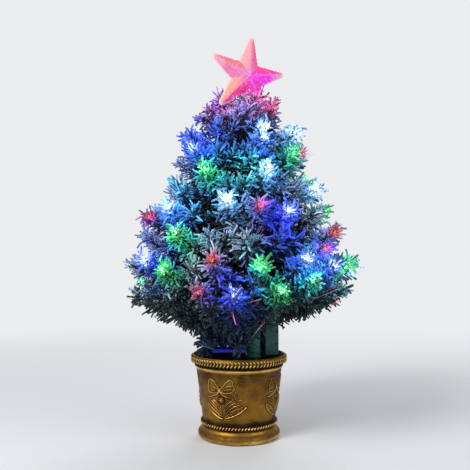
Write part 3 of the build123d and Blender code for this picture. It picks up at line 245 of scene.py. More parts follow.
tier_frost_shares = (0.30, 0.95, 1.0, 1.0, 1.0, 1.0, 1.0, 1.0, 1.0, 1.0)
outline_levels, outline_band = 16, 16.0 * MM
sprig_seed, tuft_seed, skirt_seed, fibre_seed = 50, 80, 90, 7

# Snow: where it lies in the tree and on a needle
snow_heights, snow_least_share = (185.0 * MM, 300.0 * MM), 0.12
# depth_shares set how near the outline the needles count as outer: where snow lies, and where the painted
# shade that darkens the green ends
depth_shares = (0.58, 0.95)
crown_heights, crown_share = (445.0 * MM, 490.0 * MM), 0.72
topside_rises, topside_least_share, topside_sway = (-1.0, -0.1), 0.15, 0.35
frost_shares = (0.65, 1.25)

# Needle colours
# needle_shade_dark is painted shade: the near-black blue of needles deep in the tree and at their roots
needle_shade_dark, needle_green = (0.001, 0.004, 0.016), (0.006, 0.042, 0.036)
needle_roughness, needle_sheen = 0.82, 0.1
snow_grey, snow_white, snow_blue = (0.16, 0.26, 0.29), (0.82, 0.94, 1.0), (0.40, 0.62, 0.88)
snow_blue_patches, snow_blue_share = (0.42, 0.62), 0.5
snow_tones, snow_tip_swing, snow_tips, snow_edge = (0.25, 0.85), 0.7, (0.26, 0.62), (0.11, 0.36)
# Each range of a pattern or a stored value, and the shares of snow or of light from one end to the other
snow_by_clump_shares, snow_by_fleck_shares = (0.38, 0.56, 0.40, 1.40), (0.38, 0.56, 0.42, 1.35)
lit_by_along_shares, lit_by_tone_shares = (0.0, 0.8, 0.25, 1.0), (0.0, 1.0, 0.25, 1.35)
lit_by_clump_shares, lit_by_fleck_shares = (0.36, 0.60, 0.50, 1.25), (0.38, 0.60, 0.22, 1.45)
lit_by_depth_shares, lit_by_snow_shares = (0.15, 0.75, 0.30, 1.0), (0.0, 0.6, 0.50, 1.0)

# Tufts round the lamps
tuft_back, tuft_front, tuft_spacing = 16.0 * MM, 4.0 * MM, 0.34 * MM
tuft_first_share, tuft_length_share = 0.55, 0.92
tuft_sway = 28.0
lit_gap, lit_short_of_tip = 12.0 * MM, 2.0 * MM

# Needles round the trunk between the branches and the pot, dark with painted shade as they lie deep in the
# tree
skirt_count, skirt_steps = 11, 4
skirt_first, skirt_sweep = 130.0, 250.0
skirt_start, skirt_end = (12.0 * MM, 160.0 * MM), (21.0 * MM, 135.0 * MM)
skirt_sway, skirt_sway_step, skirt_rise = 6.0, 2.4, 6.0 * MM
skirt_length_share = 0.58

# Clearing that the needles keep in front of one of the star's arms
cleared_arm = 2
clearing_depth, clearing_branch = 70.0 * MM, 9.0 * MM
clearing_needles, clearing_least_share = (6.0 * MM, 20.0 * MM), 0.12

# Lights on the needles round them: colours of core, halo and spill, the halo's reach, and power
Look = namedtuple("Look", "core halo spill reach power")
unlit = (0.0, 0.0, 0.0)
glow_looks = {
    "white": Look((0.90, 1.0, 1.0), (0.22, 0.52, 0.82), (0.02, 0.28, 0.90), 19.0 * MM, 1.15),
    "blue": Look((0.56, 0.70, 1.0), (0.004, 0.040, 0.90), (0.01, 0.07, 1.0), 25.0 * MM, 1.05),
    "green": Look((0.24, 1.0, 0.34), (0.0, 0.32, 0.025), (0.0, 0.42, 0.14), 22.0 * MM, 0.85),
    "red": Look((1.0, 0.10, 0.02), (0.70, 0.02, 0.02), (0.30, 0.04, 0.04), 8.5 * MM, 0.62),
    "magenta": Look((1.0, 0.16, 0.45), (0.80, 0.01, 0.26), (0.60, 0.01, 0.40), 17.0 * MM, 0.40),
    "violet": Look((0.10, 0.06, 0.8), (0.03, 0.015, 0.80), (0.02, 0.01, 0.6), 11.0 * MM, 0.6),
    "rose": Look(unlit, (0.55, 0.22, 0.38), (0.60, 0.06, 0.30), 30.0 * MM, 0.55),
    "azure": Look(unlit, (0.03, 0.13, 0.50), (0.0, 0.10, 0.60), 32.0 * MM, 0.42),
    "pale": Look(unlit, (0.09, 0.42, 0.46), (0.0, 0.10, 0.30), 24.0 * MM, 1.15),
    "mauve": Look(unlit, (0.26, 0.18, 0.32), (0.10, 0.06, 0.30), 26.0 * MM, 0.80),
    "navy": Look(unlit, (0.004, 0.012, 0.30), (0.0, 0.02, 0.60), 28.0 * MM, 0.32),
}
core_reach, core_reach_share, core_power = 7.0 * MM, 0.55, 2.8
spill_reach, spill_power = 44.0 * MM, 0.11
# Painted light: how far and how strongly the lamps' colour is painted into the needles' base colour
spill_light_reach_share, spill_light_gain, spill_light_most = 1.5, 1.35, 0.95
hue_least, light_least = 0.03, 1e-6
lamp_colours = ("white", "blue", "green", "red")
lens_colours = {"white": (1.0, 1.0, 1.0), "blue": (0.70, 0.82, 1.0), "green": (0.72, 1.0, 0.70),
                "red": (1.0, 0.26, 0.05), "magenta": (1.0, 0.10, 0.35)}
lens_strength, lens_roughness = 1.7, 0.25

# Glows that show no lamp, in millimetres right of, in front of (minus) and above the pot's foot
stray_glows = {
    "azure": [(-46.0, -66.0, 430.0)], "mauve": [(-8.0, -44.0, 488.0)],
    "pale": [(104.0, -80.0, 262.0), (-66.0, -112.0, 334.0), (-96.0, -88.0, 345.0), (-88.0, -70.0, 385.0)],
    "blue": [(-7.0, -160.0, 222.0), (37.0, -86.0, 430.0)],
    "green": [(16.0, -94.0, 392.0), (152.0, -62.0, 250.0)],
    "navy": [(0.0, -120.0, 178.0), (62.0, -118.0, 292.0)],
    "rose": [(-14.0, -16.0, 508.0), (24.0, -16.0, 512.0)],
    "magenta": [(-24.0, -20.0, 497.0), (34.0, -14.0, 494.0)],
    "violet": [(-24.0, -24.0, 128.0), (0.0, -26.0, 128.0)],
}

# Optical fibres: picture pixels of the two ends that show, millimetres in front of the trunk, and look
fibre_width, fibre_spread, fibre_short = 0.55 * MM, 3.0 * MM, 9.0 * MM
fibre_steps, fibre_strands, fibre_step_forward = 6, 3, 6.0
seen_fibres = (((230, 308), (236, 325), 146.0, "pink"), ((232, 308), (235, 322), 147.0, "pink"),
               ((304, 160), (314, 154), 20.0, "stray"), ((303, 158), (312, 153), 20.0, "stray"),
               ((326, 306), (341, 300), 96.0, "red tip"), ((328, 307), (340, 302), 94.0, "red tip"),
               ((247, 303), (261, 299), 168.0, "red tip"))
mouth_fibres, mouth_fibre_from = 14, (8.0 * MM, -34.0 * MM, 129.0 * MM)
mouth_fibre_reach, mouth_fibre_turns = (32.0 * MM, 50.0 * MM), (-102.0, -84.0)
mouth_fibre_sway = 0.9 * MM
stray_fibres, stray_fibre_from = 5, (-34.0 * MM, -33.0 * MM, 130.0 * MM)
stray_fibre_reach, stray_fibre_rises = (15.0 * MM, 26.0 * MM), (0.25, 0.8)
# Each look's hue, power and where along the strand its glow begins
fibre_looks = {"blue": ((0.40, 0.70, 1.0), 0.35, 0.7), "red": ((1.0, 0.12, 0.30), 0.30, 0.7),
               "pink": ((1.0, 0.16, 0.72), 1.2, 0.2), "red tip": ((1.0, 0.12, 0.14), 0.9, 0.1),
               "mouth": ((0.02, 0.025, 1.0), 0.34, -2.0), "stray": ((0.45, 0.62, 1.0), 0.55, -0.4),
               "low": ((0.14, 0.26, 0.80), 0.30, -0.4)}
fibre_dim, fibre_gain = 0.05, 1.3
fibre_colour, fibre_roughness = (0.06, 0.08, 0.10), (0.12, 0.3)

# Star
star_middle = (12.0 * MM, 0.0, 540.4 * MM)
star_lean, star_turn = 8.0, 23.0
star_r, star_valley_r, star_point_r = 64.0 * MM, 27.5 * MM, 75.0 * MM
star_edge, star_height, star_round = 1.6 * MM, 9.2 * MM, 4.4 * MM
star_cone_share = 0.62
star_rings, star_spokes, star_arms = 72, 320, 5
arm_angle = 2 * pi / star_arms
rim_power = 6
star_stripe, stripe_slant, stripe_height = 3.9 * MM, 20.0 * MM, 0.35 * MM
stripe_from_shares, stripe_last_share = (0.50, 0.72), 0.97
star_striped_sides, stripe_shares = ((1, 0), (4, 1)), (0.30, 0.95)
star_ridge = 1.3 * MM
star_edge_shares, star_centre_shares, star_tip_shares = (0.90, 1.0), (0.12, 0.62), (0.78, 1.0)

# Star's tints: the two sides of each arm, the inner end of each arm, the middle, the tips and worn places
star_tints = (
    ((0.95, 0.40, 0.42), (0.95, 0.13, 0.36)), ((0.92, 0.20, 0.48), (0.94, 0.22, 0.28)),
    ((1.00, 0.03, 0.34), (0.95, 0.38, 0.30)), ((0.95, 0.03, 0.50), (1.00, 0.04, 0.46)),
    ((1.00, 0.05, 0.38), (1.00, 0.03, 0.85)),
)
star_centre_tints = ((0.90, 0.26, 0.56), (0.86, 0.26, 0.62), (0.95, 0.14, 0.58), (1.0, 0.03, 0.80),
                     (1.0, 0.04, 0.80))
star_middle_tint, star_middle_pale = (0.95, 0.14, 0.66), 0.1
star_tip_tint, star_tip_amount = (1.0, 0.42, 0.26), 0.7
star_pale_tint, star_dim = (1.0, 0.72, 0.78), (0.50, 0.50, 0.50)
pale_stripe, pale_ridge, pale_edge = 0.9, 0.12, 0.75
glitter_scale, glitter_edges, glitter_share = 300.0, (0.10, 0.50), 0.36
star_strength, star_roughness, star_specular = 0.48, 0.4, 0.3


# Mesh helpers
def link(obj):
    bpy.context.scene.collection.objects.link(obj)
    return obj


def mesh_object(name, points, faces, edges=()):
    mesh = bpy.data.meshes.new(name)
    mesh.from_pydata([tuple(point) for point in points], list(edges), [tuple(face) for face in faces])
    mesh.update()
    return link(bpy.data.objects.new(name, mesh))


def lines_object(name, lines):
    """An object of edges that run along each line."""
    points, edges = [], []
    for line in lines:
        edges += [(len(points) + k, len(points) + k + 1) for k in range(len(line) - 1)]
        points += line
    return mesh_object(name, points, [], edges)


def finish_piece(piece, body, replaced=()):
    """Seats a finished piece on its body and hides the nodes it stands for."""
    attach(piece, body)
    if replaced:
        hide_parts(*replaced)


def read_values(items, key, width=1):
    """A stored value of every item as an array."""
    flat = np.zeros(len(items) * width)
    items.foreach_get(key, flat)
    return flat.reshape(-1, width) if width > 1 else flat


def places_of(mesh):
    return read_values(mesh.vertices, "co", 3)


def loose_solids(name):
    """The corners of each separate solid in a CAD node."""
    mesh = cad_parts[name].data
    keys = [tuple(key) for key in np.round(places_of(mesh) / weld_grid).astype(int)]
    owner = {key: key for key in keys}

    def root(key):
        while owner[key] != key:
            owner[key] = owner[owner[key]]
            key = owner[key]
        return key

    for face in mesh.polygons:
        first = root(keys[face.vertices[0]])
        for corner in face.vertices[1:]:
            owner[root(keys[corner])] = first
    groups = {}
    for key in owner:
        groups.setdefault(root(key), []).append(key)
    solids = [np.array(group) * weld_grid for group in groups.values()]
    return sorted(solids, key=lambda solid: tuple(solid.mean(0)))


def line_of(corners):
    """The inner and outer end of a long solid."""
    middle = corners.mean(0)
    axis = np.linalg.svd(corners - middle)[2][0]
    if axis[:2] @ middle[:2] < 0:
        axis = -axis
    along = (corners - middle) @ axis
    return middle + axis * along.min(), middle + axis * along.max()


def heading(azimuth, radius, height):
    return np.array([radius * sin(radians(azimuth)), -radius * cos(radians(azimuth)), height])


def unit(vector):
    return vector / np.linalg.norm(vector)


def smooth_step(value, low, high):
    share = np.clip((value - low) / (high - low), 0, 1)
    return share * share * (3 - 2 * share)


def store_values(mesh, name, values):
    layer = mesh.attributes.new(name, "FLOAT", "POINT")
    layer.data.foreach_set("value", np.asarray(values, np.float32))


def store_colour(mesh, name, values):
    layer = mesh.attributes.new(name, "FLOAT_COLOR", "POINT")
    whole = np.ones((len(values), 4), np.float32)
    whole[:, :3] = values
    layer.data.foreach_set("color", whole.ravel())


def shade_smooth(mesh):
    mesh.polygons.foreach_set("use_smooth", [True] * len(mesh.polygons))


# Node helpers
def place_inputs(group, node, inputs):
    """Sets a node's inputs, and links those whose value is another node's output."""
    for key, value in inputs.items():
        socket = node.inputs[key]
        if isinstance(value, bpy.types.NodeSocket):
            group.links.new(value, socket)
        elif socket.type == "RGBA":
            socket.default_value = (*value, 1)
        else:
            socket.default_value = value


def add(group, kind, inputs=None, **settings):
    node = group.nodes.new(kind)
    for key, value in settings.items():
        setattr(node, key, value)
    place_inputs(group, node, inputs or {})
    return node


def maths(group, operation, a, b=0.0, clamp=False):
    return add(group, "ShaderNodeMath", {0: a, 1: b}, operation=operation, use_clamp=clamp).outputs[0]


def product(group, whole, *factors):
    for factor in factors:
        whole = maths(group, "MULTIPLY", whole, factor)
    return whole


def swing(group, pattern, amount):
    """How far a pattern lies from its middle, times an amount."""
    return product(group, maths(group, "SUBTRACT", pattern, 0.5), amount)


def curve_through(group, value, spots):
    """A value read on a smooth curve."""
    node = add(group, "ShaderNodeFloatCurve", {"Value": value})
    curve = node.mapping.curves[0]
    curve.points[0].location = spots[0]
    curve.points[1].location = spots[-1]
    for spot in spots[1:-1]:
        curve.points.new(*spot)
    node.mapping.update()
    return node.outputs[0]


def ramp(group, value, low, high, to_low=0.0, to_high=1.0):
    return add(group, "ShaderNodeMapRange",
               {"Value": value, "From Min": low, "From Max": high, "To Min": to_low, "To Max": to_high},
               interpolation_type="SMOOTHSTEP").outputs[0]


def geometry_group(name, **given):
    """A geometry node group with a mesh in, named inputs of each kind, and a mesh out."""
    group = bpy.data.node_groups.new(name, "GeometryNodeTree")
    group.interface.new_socket("Geometry", in_out="INPUT", socket_type="NodeSocketGeometry")
    for kind, labels in given.items():
        for label in labels:
            group.interface.new_socket(label, in_out="INPUT", socket_type=f"NodeSocket{kind}")
    group.interface.new_socket("Geometry", in_out="OUTPUT", socket_type="NodeSocketGeometry")
    return group, group.nodes.new("NodeGroupInput").outputs, group.nodes.new("NodeGroupOutput")


def finish_group(group, geometry, surface, made):
    """Ends a geometry node group with real meshes that carry their material."""
    real = add(group, "GeometryNodeRealizeInstances", {0: geometry})
    painted = add(group, "GeometryNodeSetMaterial", {"Geometry": real.outputs[0], "Material": surface})
    place_inputs(group, made, {0: painted.outputs[0]})


def run_group(piece, group, values):
    """Runs a geometry node group on a piece and keeps the result as its plain mesh."""
    modifier = piece.modifiers.new("shape", "NODES")
    modifier.node_group = group
    for item in group.interface.items_tree:
        if item.in_out == "INPUT" and item.name in values:
            modifier[item.identifier] = values[item.name]
    evaluated = piece.evaluated_get(bpy.context.evaluated_depsgraph_get())
    mesh = bpy.data.meshes.new_from_object(evaluated)
    piece.modifiers.clear()
    piece.data = mesh
    mesh.name = piece.name


def spin(group, rotation, axis, angle):
    """Turns a rotation about one of its own axes."""
    turn = add(group, "FunctionNodeAxisAngleToRotation", {"Axis": axis, "Angle": angle})
    return add(group, "FunctionNodeRotateRotation", {"Rotation": rotation, "Rotate By": turn.outputs[0]},
               rotation_space="LOCAL").outputs[0]


def chance_seed(group, seed, chance):
    """A seed of its own for each thing that varies from needle to needle."""
    return maths(group, "ADD", seed, float(needle_chances[chance]))


def random_value(group, low, high, seed, chance):
    inputs = {"Min": low, "Max": high, "Seed": chance_seed(group, seed, chance)}
    return add(group, "FunctionNodeRandomValue", inputs, data_type="FLOAT").outputs[1]


def store_field(group, geometry, name, value):
    return add(group, "GeometryNodeStoreNamedAttribute", {"Geometry": geometry, "Name": name, "Value": value},
               data_type="FLOAT", domain="POINT").outputs[0]


def vector_maths(group, operation, inputs, output="Vector"):
    return add(group, "ShaderNodeVectorMath", inputs, operation=operation).outputs[output]


# Shader helpers
def material(name):
    made = bpy.data.materials.new(name)
    made.use_nodes = True
    group = made.node_tree
    group.nodes.clear()
    shader = group.nodes.new("ShaderNodeBsdfPrincipled")
    add(group, "ShaderNodeOutputMaterial", {"Surface": shader.outputs[0]})
    return made, group, shader


def attribute(group, name, output="Fac"):
    return add(group, "ShaderNodeAttribute", attribute_name=name).outputs[output]


def mix(group, share, a, b, blend="MIX"):
    return add(group, "ShaderNodeMix", {0: share, 6: a, 7: b}, data_type="RGBA", blend_type=blend).outputs[2]


def object_place(group):
    return add(group, "ShaderNodeTexCoord").outputs["Object"]


def parts_of(group, vector):
    return add(group, "ShaderNodeSeparateXYZ", {0: vector}).outputs


def stretched(group, scale=(1, 1, 1)):
    return add(group, "ShaderNodeMapping", {"Vector": object_place(group), "Scale": scale}).outputs[0]


def noise(group, pattern):
    return add(group, "ShaderNodeTexNoise",
               {"Vector": stretched(group, pattern.stretch), "Scale": pattern.scale, "Detail": pattern.detail,
                "Roughness": pattern.roughness}).outputs["Fac"]


def bump(group, shader, height, strength, distance):
    node = add(group, "ShaderNodeBump", {"Height": height, "Strength": strength, "Distance": distance})
    place_inputs(group, shader, {"Normal": node.outputs[0]})


# Shared surface effects
def effect_group(name, **given):
    """An empty shader node group with named inputs, and a colour, a roughness and a height out."""
    group = bpy.data.node_groups.new(name, "ShaderNodeTree")
    for label, kind in given.items():
        group.interface.new_socket(label, in_out="INPUT", socket_type=f"NodeSocket{kind}")
    for label, kind in (("Color", "Color"), ("Roughness", "Float"), ("Height", "Float")):
        group.interface.new_socket(label, in_out="OUTPUT", socket_type=f"NodeSocket{kind}")
    return group, group.nodes.new("NodeGroupInput").outputs, group.nodes.new("NodeGroupOutput")


def aged_gold_group():
    """Brown patina in the hollows, bright worn gold on what stands out, and fine brushed streaks."""
    group, given, made = effect_group("aged gold", Relief="Float")
    patches, streaks, specks = [noise(group, found) for found in (gold_patches, gold_streaks, gold_specks)]
    level = given["Relief"]
    for pattern, amount in zip((patches, streaks, specks), gold_swings):
        level = maths(group, "ADD", level, swing(group, pattern, amount))
    body = mix(group, ramp(group, level, *gold_body_levels), gold_patina, gold_body)
    place_inputs(group, made, {
        "Color": mix(group, ramp(group, level, *gold_bright_levels), body, gold_bright),
        "Roughness": ramp(group, level, 0.0, 1.0, *gold_roughness),
        "Height": maths(group, "ADD", streaks, product(group, specks, gold_speck_share))})
    return group


def moulded_group():
    """The fine grain, faint flow marks and dull patches of moulded plastic."""
    group, given, made = effect_group("moulded plastic", Color="Color", Roughness="Float")
    flow = noise(group, plastic_flow)
    dull = product(group, flow, plastic_dull_share)
    uneven = swing(group, flow, plastic_swing)
    place_inputs(group, made, {
        "Color": mix(group, dull, given["Color"], plastic_dull, "SOFT_LIGHT"),
        "Roughness": maths(group, "ADD", given["Roughness"], uneven, clamp=True),
        "Height": noise(group, plastic_grain)})
    return group


def brushed_group():
    """Fine drawn lines and small tarnished patches on bare metal."""
    group, given, made = effect_group("brushed metal", Color="Color", Roughness="Float")
    lines = noise(group, metal_lines)
    tarnish = ramp(group, noise(group, metal_tarnish), *tarnish_levels)
    darker = mix(group, 1.0, given["Color"], metal_dark, "MULTIPLY")
    rough = product(group, maths(group, "ADD", lines, tarnish), metal_roughening)
    place_inputs(group, made, {
        "Color": mix(group, tarnish, given["Color"], darker),
        "Roughness": maths(group, "ADD", given["Roughness"], rough, clamp=True),
        "Height": lines})
    return group


def effect_material(name, effect, inputs, metallic=0.0, coat=0.0, strength=grain_strength):
    """A material whose colour, roughness and bump come from one of the shared effects."""
    made, group, shader = material(name)
    node = add(group, "ShaderNodeGroup", inputs, node_tree=effect)
    place_inputs(group, shader, {
        "Base Color": node.outputs["Color"], "Roughness": node.outputs["Roughness"],
        "Metallic": metallic, "Coat Weight": coat})
    if strength:
        bump(group, shader, node.outputs["Height"], strength, grain_depth)
    return made, group, shader, node


# Finishes
def gold_material(name, relief):
    """Antique gold paint; relief says how the height on the piece is read."""
    made, group, shader, node = effect_material(
        name, aged_gold, {}, metallic=gold_metal, strength=gold_strength)
    place_inputs(group, node, {"Relief": relief(group)})
    return made, group, shader, node


def pot_bands(group):
    """Rings that stand out are worn bright and the grooves between them hold the patina."""
    height = parts_of(group, object_place(group))["Z"]
    return curve_through(group, maths(group, "DIVIDE", height, pot_height), gold_band_shares)


def stored_relief(group):
    return attribute(group, "relief")


def pot_material():
    """Antique gold outside, and inside the wall a near-black blue that is painted shade in the pot's hollow.
    """
    made, group, shader, node = gold_material("antique gold", pot_bands)
    place = object_place(group)
    height = parts_of(group, place)["Z"]
    flat = vector_maths(group, "MULTIPLY", {0: place, 1: (1, 1, 0)})
    across = vector_maths(group, "LENGTH", {0: flat}, "Value")
    edges = ((wall_slope, wall_r(0) - inside_gap),
             (inside_rim_slope, inside_rim_r - inside_rim_z * inside_rim_slope))
    wall, rim = [maths(group, "ADD", product(group, height, slope), start) for slope, start in edges]
    inner = maths(group, "SUBTRACT", maths(group, "MAXIMUM", wall, rim), across)
    within = ramp(group, inner, -inside_edge, inside_edge)
    # Painted shade inside the wall
    place_inputs(group, shader, {
        "Base Color": mix(group, within, node.outputs["Color"], pot_inside_shade),
        "Metallic": ramp(group, within, 0.0, 1.0, gold_metal, 0.0)})
    return made


def tape_material(name, colour, pitch):
    """Glossy wrapped tape: slanted edges of each turn and small wrinkles between them."""
    made, group, shader, node = effect_material(
        name, moulded_plastic, {"Color": colour, "Roughness": tape_roughness}, strength=0)
    parts = parts_of(group, object_place(group))
    slant = maths(group, "ADD", parts["Z"], product(group, parts["X"], tape_slant))
    edge = ramp(group, maths(group, "FRACT", maths(group, "DIVIDE", slant, pitch)), 0.0, tape_edge_share)
    bump(group, shader, maths(group, "ADD", edge, noise(group, tape_wrinkles)), *tape_bump)
    shaded = mix(group, edge, tape_shadow, (1, 1, 1))
    place_inputs(group, shader, {"Base Color": mix(group, 1.0, node.outputs["Color"], shaded, "MULTIPLY")})
    return made


def board_material():
    """Green circuit board with paler tracks."""
    made, group, shader = material("printed board")
    first, second = board_greens
    cells = add(group, "ShaderNodeTexBrick", {
        "Vector": stretched(group, (1, 1, 0)), "Color1": first, "Color2": second, "Scale": board_scale,
        "Mortar": board_track, "Mortar Size": board_track_width})
    place_inputs(group, shader, {
        "Base Color": cells.outputs["Color"],
        "Roughness": ramp(group, noise(group, board_mottle), 0.0, 1.0, *board_roughness)})
    bump(group, shader, cells.outputs["Fac"], *board_bump)
    return made


def clear_material(name, colour, roughness, transmission):
    """Glass or a clear film with faint smears in its polish."""
    made, group, shader = material(name)
    darker = tuple(clear_dark_share * channel for channel in colour)
    smears = noise(group, film_smears)
    place_inputs(group, shader, {
        "Base Color": mix(group, noise(group, film_clouds), colour, darker),
        "Roughness": ramp(group, smears, *smear_levels, roughness, roughness + smear_roughening),
        "Transmission Weight": transmission, "IOR": clear_index})
    return made


def wire_material():
    """Dark green lacquered wire, twisted, so that it catches the light in short slanted dashes."""
    made, group, shader = effect_material(
        "twisted wire", moulded_plastic, {"Color": wire_colour, "Roughness": wire_roughness},
        coat=wire_coat, strength=0)[:3]
    lay = add(group, "ShaderNodeTexWave",
              {"Vector": stretched(group), "Scale": wire_scale, "Distortion": wire_distortion},
              bands_direction="DIAGONAL")
    bump(group, shader, lay.outputs["Fac"], *wire_bump)
    return made


def snow_mask(group, along, grain, clumps, flecks):
    """Where snow lies on a needle: towards its tip, in clumps and flecks."""
    tips = maths(group, "ADD", along, swing(group, grain, snow_tip_swing))
    amount = product(
        group, ramp(group, tips, *snow_tips), attribute(group, "frost"), attribute(group, "snow"),
        ramp(group, clumps, *snow_by_clump_shares), ramp(group, flecks, *snow_by_fleck_shares))
    return ramp(group, amount, *snow_edge)


def snow_colour(group, tone):
    """Grey to white from needle to needle, and bluer in patches."""
    paler = mix(group, ramp(group, tone, *snow_tones), snow_grey, snow_white)
    patches = ramp(group, noise(group, needle_patches), *snow_blue_patches)
    return mix(group, product(group, patches, snow_blue_share), paler, snow_blue)


def needle_material():
    """Green strands with snow flock on their outer ends, lit by the lamps near them, and darkened by painted
    shade deep in the tree and at their roots.
    """
    made, group, shader = material("flocked needles")
    along, tone, outer = [attribute(group, key) for key in ("along", "tone", "outer")]
    grain, clumps, flecks = [noise(group, found) for found in (needle_grain, needle_clumps, needle_flecks)]
    snow = snow_mask(group, along, grain, clumps, flecks)
    # Painted shade: the green darkens to needle_shade_dark towards each needle's root and deep inside the
    # tree
    green = mix(group, product(group, along, outer), needle_shade_dark, needle_green)
    plain = mix(group, snow, green, snow_colour(group, tone))
    # Painted light: the base colour takes the hue of the lamps near it
    lamp_lit_colour = mix(group, 1.0, plain, attribute(group, "glow_hue", "Color"), "MULTIPLY")
    lit = product(
        group, ramp(group, along, *lit_by_along_shares), ramp(group, tone, *lit_by_tone_shares),
        ramp(group, clumps, *lit_by_clump_shares), ramp(group, flecks, *lit_by_fleck_shares),
        ramp(group, outer, *lit_by_depth_shares), ramp(group, snow, *lit_by_snow_shares))
    place_inputs(group, shader, {
        "Base Color": mix(group, attribute(group, "glow_spill"), plain, lamp_lit_colour),
        "Emission Color": mix(group, 1.0, attribute(group, "glow", "Color"), lit, "MULTIPLY"),
        "Emission Strength": 1.0, "Roughness": needle_roughness, "Sheen Weight": needle_sheen})
    bump(group, shader, grain, *needle_bump)
    return made


def lamp_material(name, colour):
    """A lit lens, white-hot in spots and in the lamp's colour between them."""
    made, group, shader = material(f"lit {name} lamp")
    place_inputs(group, shader, {
        "Emission Color": mix(group, noise(group, lens_grain), glow_looks[colour].core, lens_colours[colour]),
        "Emission Strength": lens_strength, "Base Color": lens_colours[colour], "Roughness": lens_roughness})
    return made


def fibre_material():
    """Clear strand that carries coloured light to its end."""
    made, group, shader = material("optical fibre")
    place_inputs(group, shader, {
        "Base Color": fibre_colour, "Emission Color": attribute(group, "end", "Color"),
        "Roughness": ramp(group, noise(group, fibre_mottle), 0.0, 1.0, *fibre_roughness),
        "Emission Strength": 1.0})
    return made


def star_material():
    """Frosted translucent plastic, lit from inside, with sparkling fine hatching."""
    made, group, shader = material("lit star")
    cells = add(group, "ShaderNodeTexVoronoi", {"Vector": stretched(group), "Scale": glitter_scale})
    glitter = ramp(group, cells.outputs["Distance"], *glitter_edges, 1.0, 0.0)
    pale = maths(group, "ADD", attribute(group, "relief"), product(group, glitter, glitter_share), clamp=True)
    colour = mix(group, pale, attribute(group, "tint", "Color"), star_pale_tint)
    place_inputs(group, shader, {
        "Base Color": mix(group, 1.0, colour, star_dim, "MULTIPLY"), "Emission Color": colour,
        "Emission Strength": star_strength, "Roughness": star_roughness, "Specular IOR Level": star_specular})
    bump(group, shader, glitter, *star_bump)
    return made


def set_finish(surface, names):
    for name in names:
        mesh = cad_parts[name].data
        mesh.materials.clear()
        mesh.materials.append(surface)


def finish_nodes():
    """Gives every CAD node that shows as it is its material."""
    for name, (colour, roughness, coat, nodes) in moulded_finishes.items():
        inputs = {"Color": colour, "Roughness": roughness}
        set_finish(effect_material(name, moulded_plastic, inputs, coat=coat)[0], nodes)
    for name, (colour, roughness, nodes) in metal_finishes.items():
        inputs = {"Color": colour, "Roughness": roughness}
        set_finish(effect_material(name, brushed_metal, inputs, metallic=1.0)[0], nodes)
    for name, (colour, roughness, transmission, nodes) in clear_finishes.items():
        set_finish(clear_material(name, colour, roughness, transmission), nodes)
    for name, (colour, pitch, nodes) in tape_finishes.items():
        set_finish(tape_material(name, colour, pitch), nodes)
    set_finish(pot_material(), ["pot_shell"])
    set_finish(board_material(), ["control_board"])
    set_finish(wire_material(), wire_nodes)
    for colour in lamp_colours:
        set_finish(lamp_material(colour, colour), [f"lamps_{colour}"])
    set_finish(lamp_material("star", "magenta"), ["star_lamp"])


# Pot ornament
def ornament_ring_group():
    """Rounded grains set round a ring, each slanted the same way."""
    group, given, made = geometry_group(
        "ornament ring", Int=["Count"], Float=["Radius", "Height", "Tilt", "Length", "Width", "Proud"],
        Material=["Surface"])
    ring = add(group, "GeometryNodeMeshCircle", {"Vertices": given["Count"], "Radius": given["Radius"]})
    lift = add(group, "ShaderNodeCombineXYZ", {"Z": given["Height"]}).outputs[0]
    raised = add(group, "GeometryNodeTransform", {"Geometry": ring.outputs[0], "Translation": lift})
    grain = add(group, "GeometryNodeMeshUVSphere",
                {"Segments": grain_segments, "Rings": grain_rings, "Radius": 1.0})
    place = add(group, "GeometryNodeInputPosition").outputs[0]
    outward = vector_maths(group, "MULTIPLY", {0: place, 1: (1, 1, 0)})
    facing = add(group, "FunctionNodeAlignRotationToVector", {"Vector": outward}, axis="X").outputs[0]
    slanted = spin(group, facing, (1, 0, 0), given["Tilt"])
    size = add(group, "ShaderNodeCombineXYZ", {
        "X": given["Proud"], "Y": product(group, given["Width"], 0.5),
        "Z": product(group, given["Length"], 0.5)}).outputs[0]
    grown = add(group, "GeometryNodeInstanceOnPoints", {
        "Points": raised.outputs[0], "Instance": grain.outputs[0], "Rotation": slanted, "Scale": size})
    finish_group(group, grown.outputs[0], given["Surface"], made)
    return group


def ring_of_grains(name, group, surface, count, radius, height, tilt, size):
    length, width, proud = size
    piece = mesh_object(name, [], [])
    run_group(piece, group, {
        "Count": count, "Radius": radius, "Height": height, "Tilt": radians(tilt), "Length": length,
        "Width": width, "Proud": proud, "Surface": surface})
    places = places_of(piece.data)
    out = np.hypot(places[:, 0], places[:, 1]) - radius
    store_values(piece.data, "relief", np.clip(out / proud * grain_worn - grain_hollow, 0, 1))
    shade_smooth(piece.data)
    finish_piece(piece, "pot")


def inside(points, outline):
    """Which points lie inside a closed outline."""
    found = np.zeros(len(points), bool)
    x, y = points.T
    for (ax, ay), (bx, by) in zip(outline, np.roll(outline, -1, 0)):
        crosses = (ay > y) != (by > y)
        run = (bx - ax) / (by - ay) if by != ay else 0
        found ^= crosses & (x < ax + (y - ay) * run)
    return found


def rounded(line, closed=False):
    """More points along a line, on a smooth curve through the given ones."""
    line = np.array(line)
    before, after = 2 * line[[0]] - line[[1]], 2 * line[[-1]] - line[[-2]]
    whole = np.vstack([line[[-1]], line, line[:2]] if closed else [before, line, after])
    made = []
    for a, b, c, d in zip(whole, whole[1:], whole[2:], whole[3:]):
        for t in np.linspace(0, 1, rounded_steps, endpoint=False):
            made.append(0.5 * (2 * b + (c - a) * t + (2 * a - 5 * b + 4 * c - d) * t ** 2
                               + (3 * b - a - 3 * c + d) * t ** 3))
    return np.array(made)


def gap_to_line(points, line):
    """Each point's distance to a line."""
    least = np.full(len(points), np.inf)
    for a, b in zip(line[:-1], line[1:]):
        run = b - a
        share = np.clip((points - a) @ run / (run @ run), 0, 1)
        least = np.minimum(least, np.hypot(*(points - a - share[:, None] * run).T))
    return least


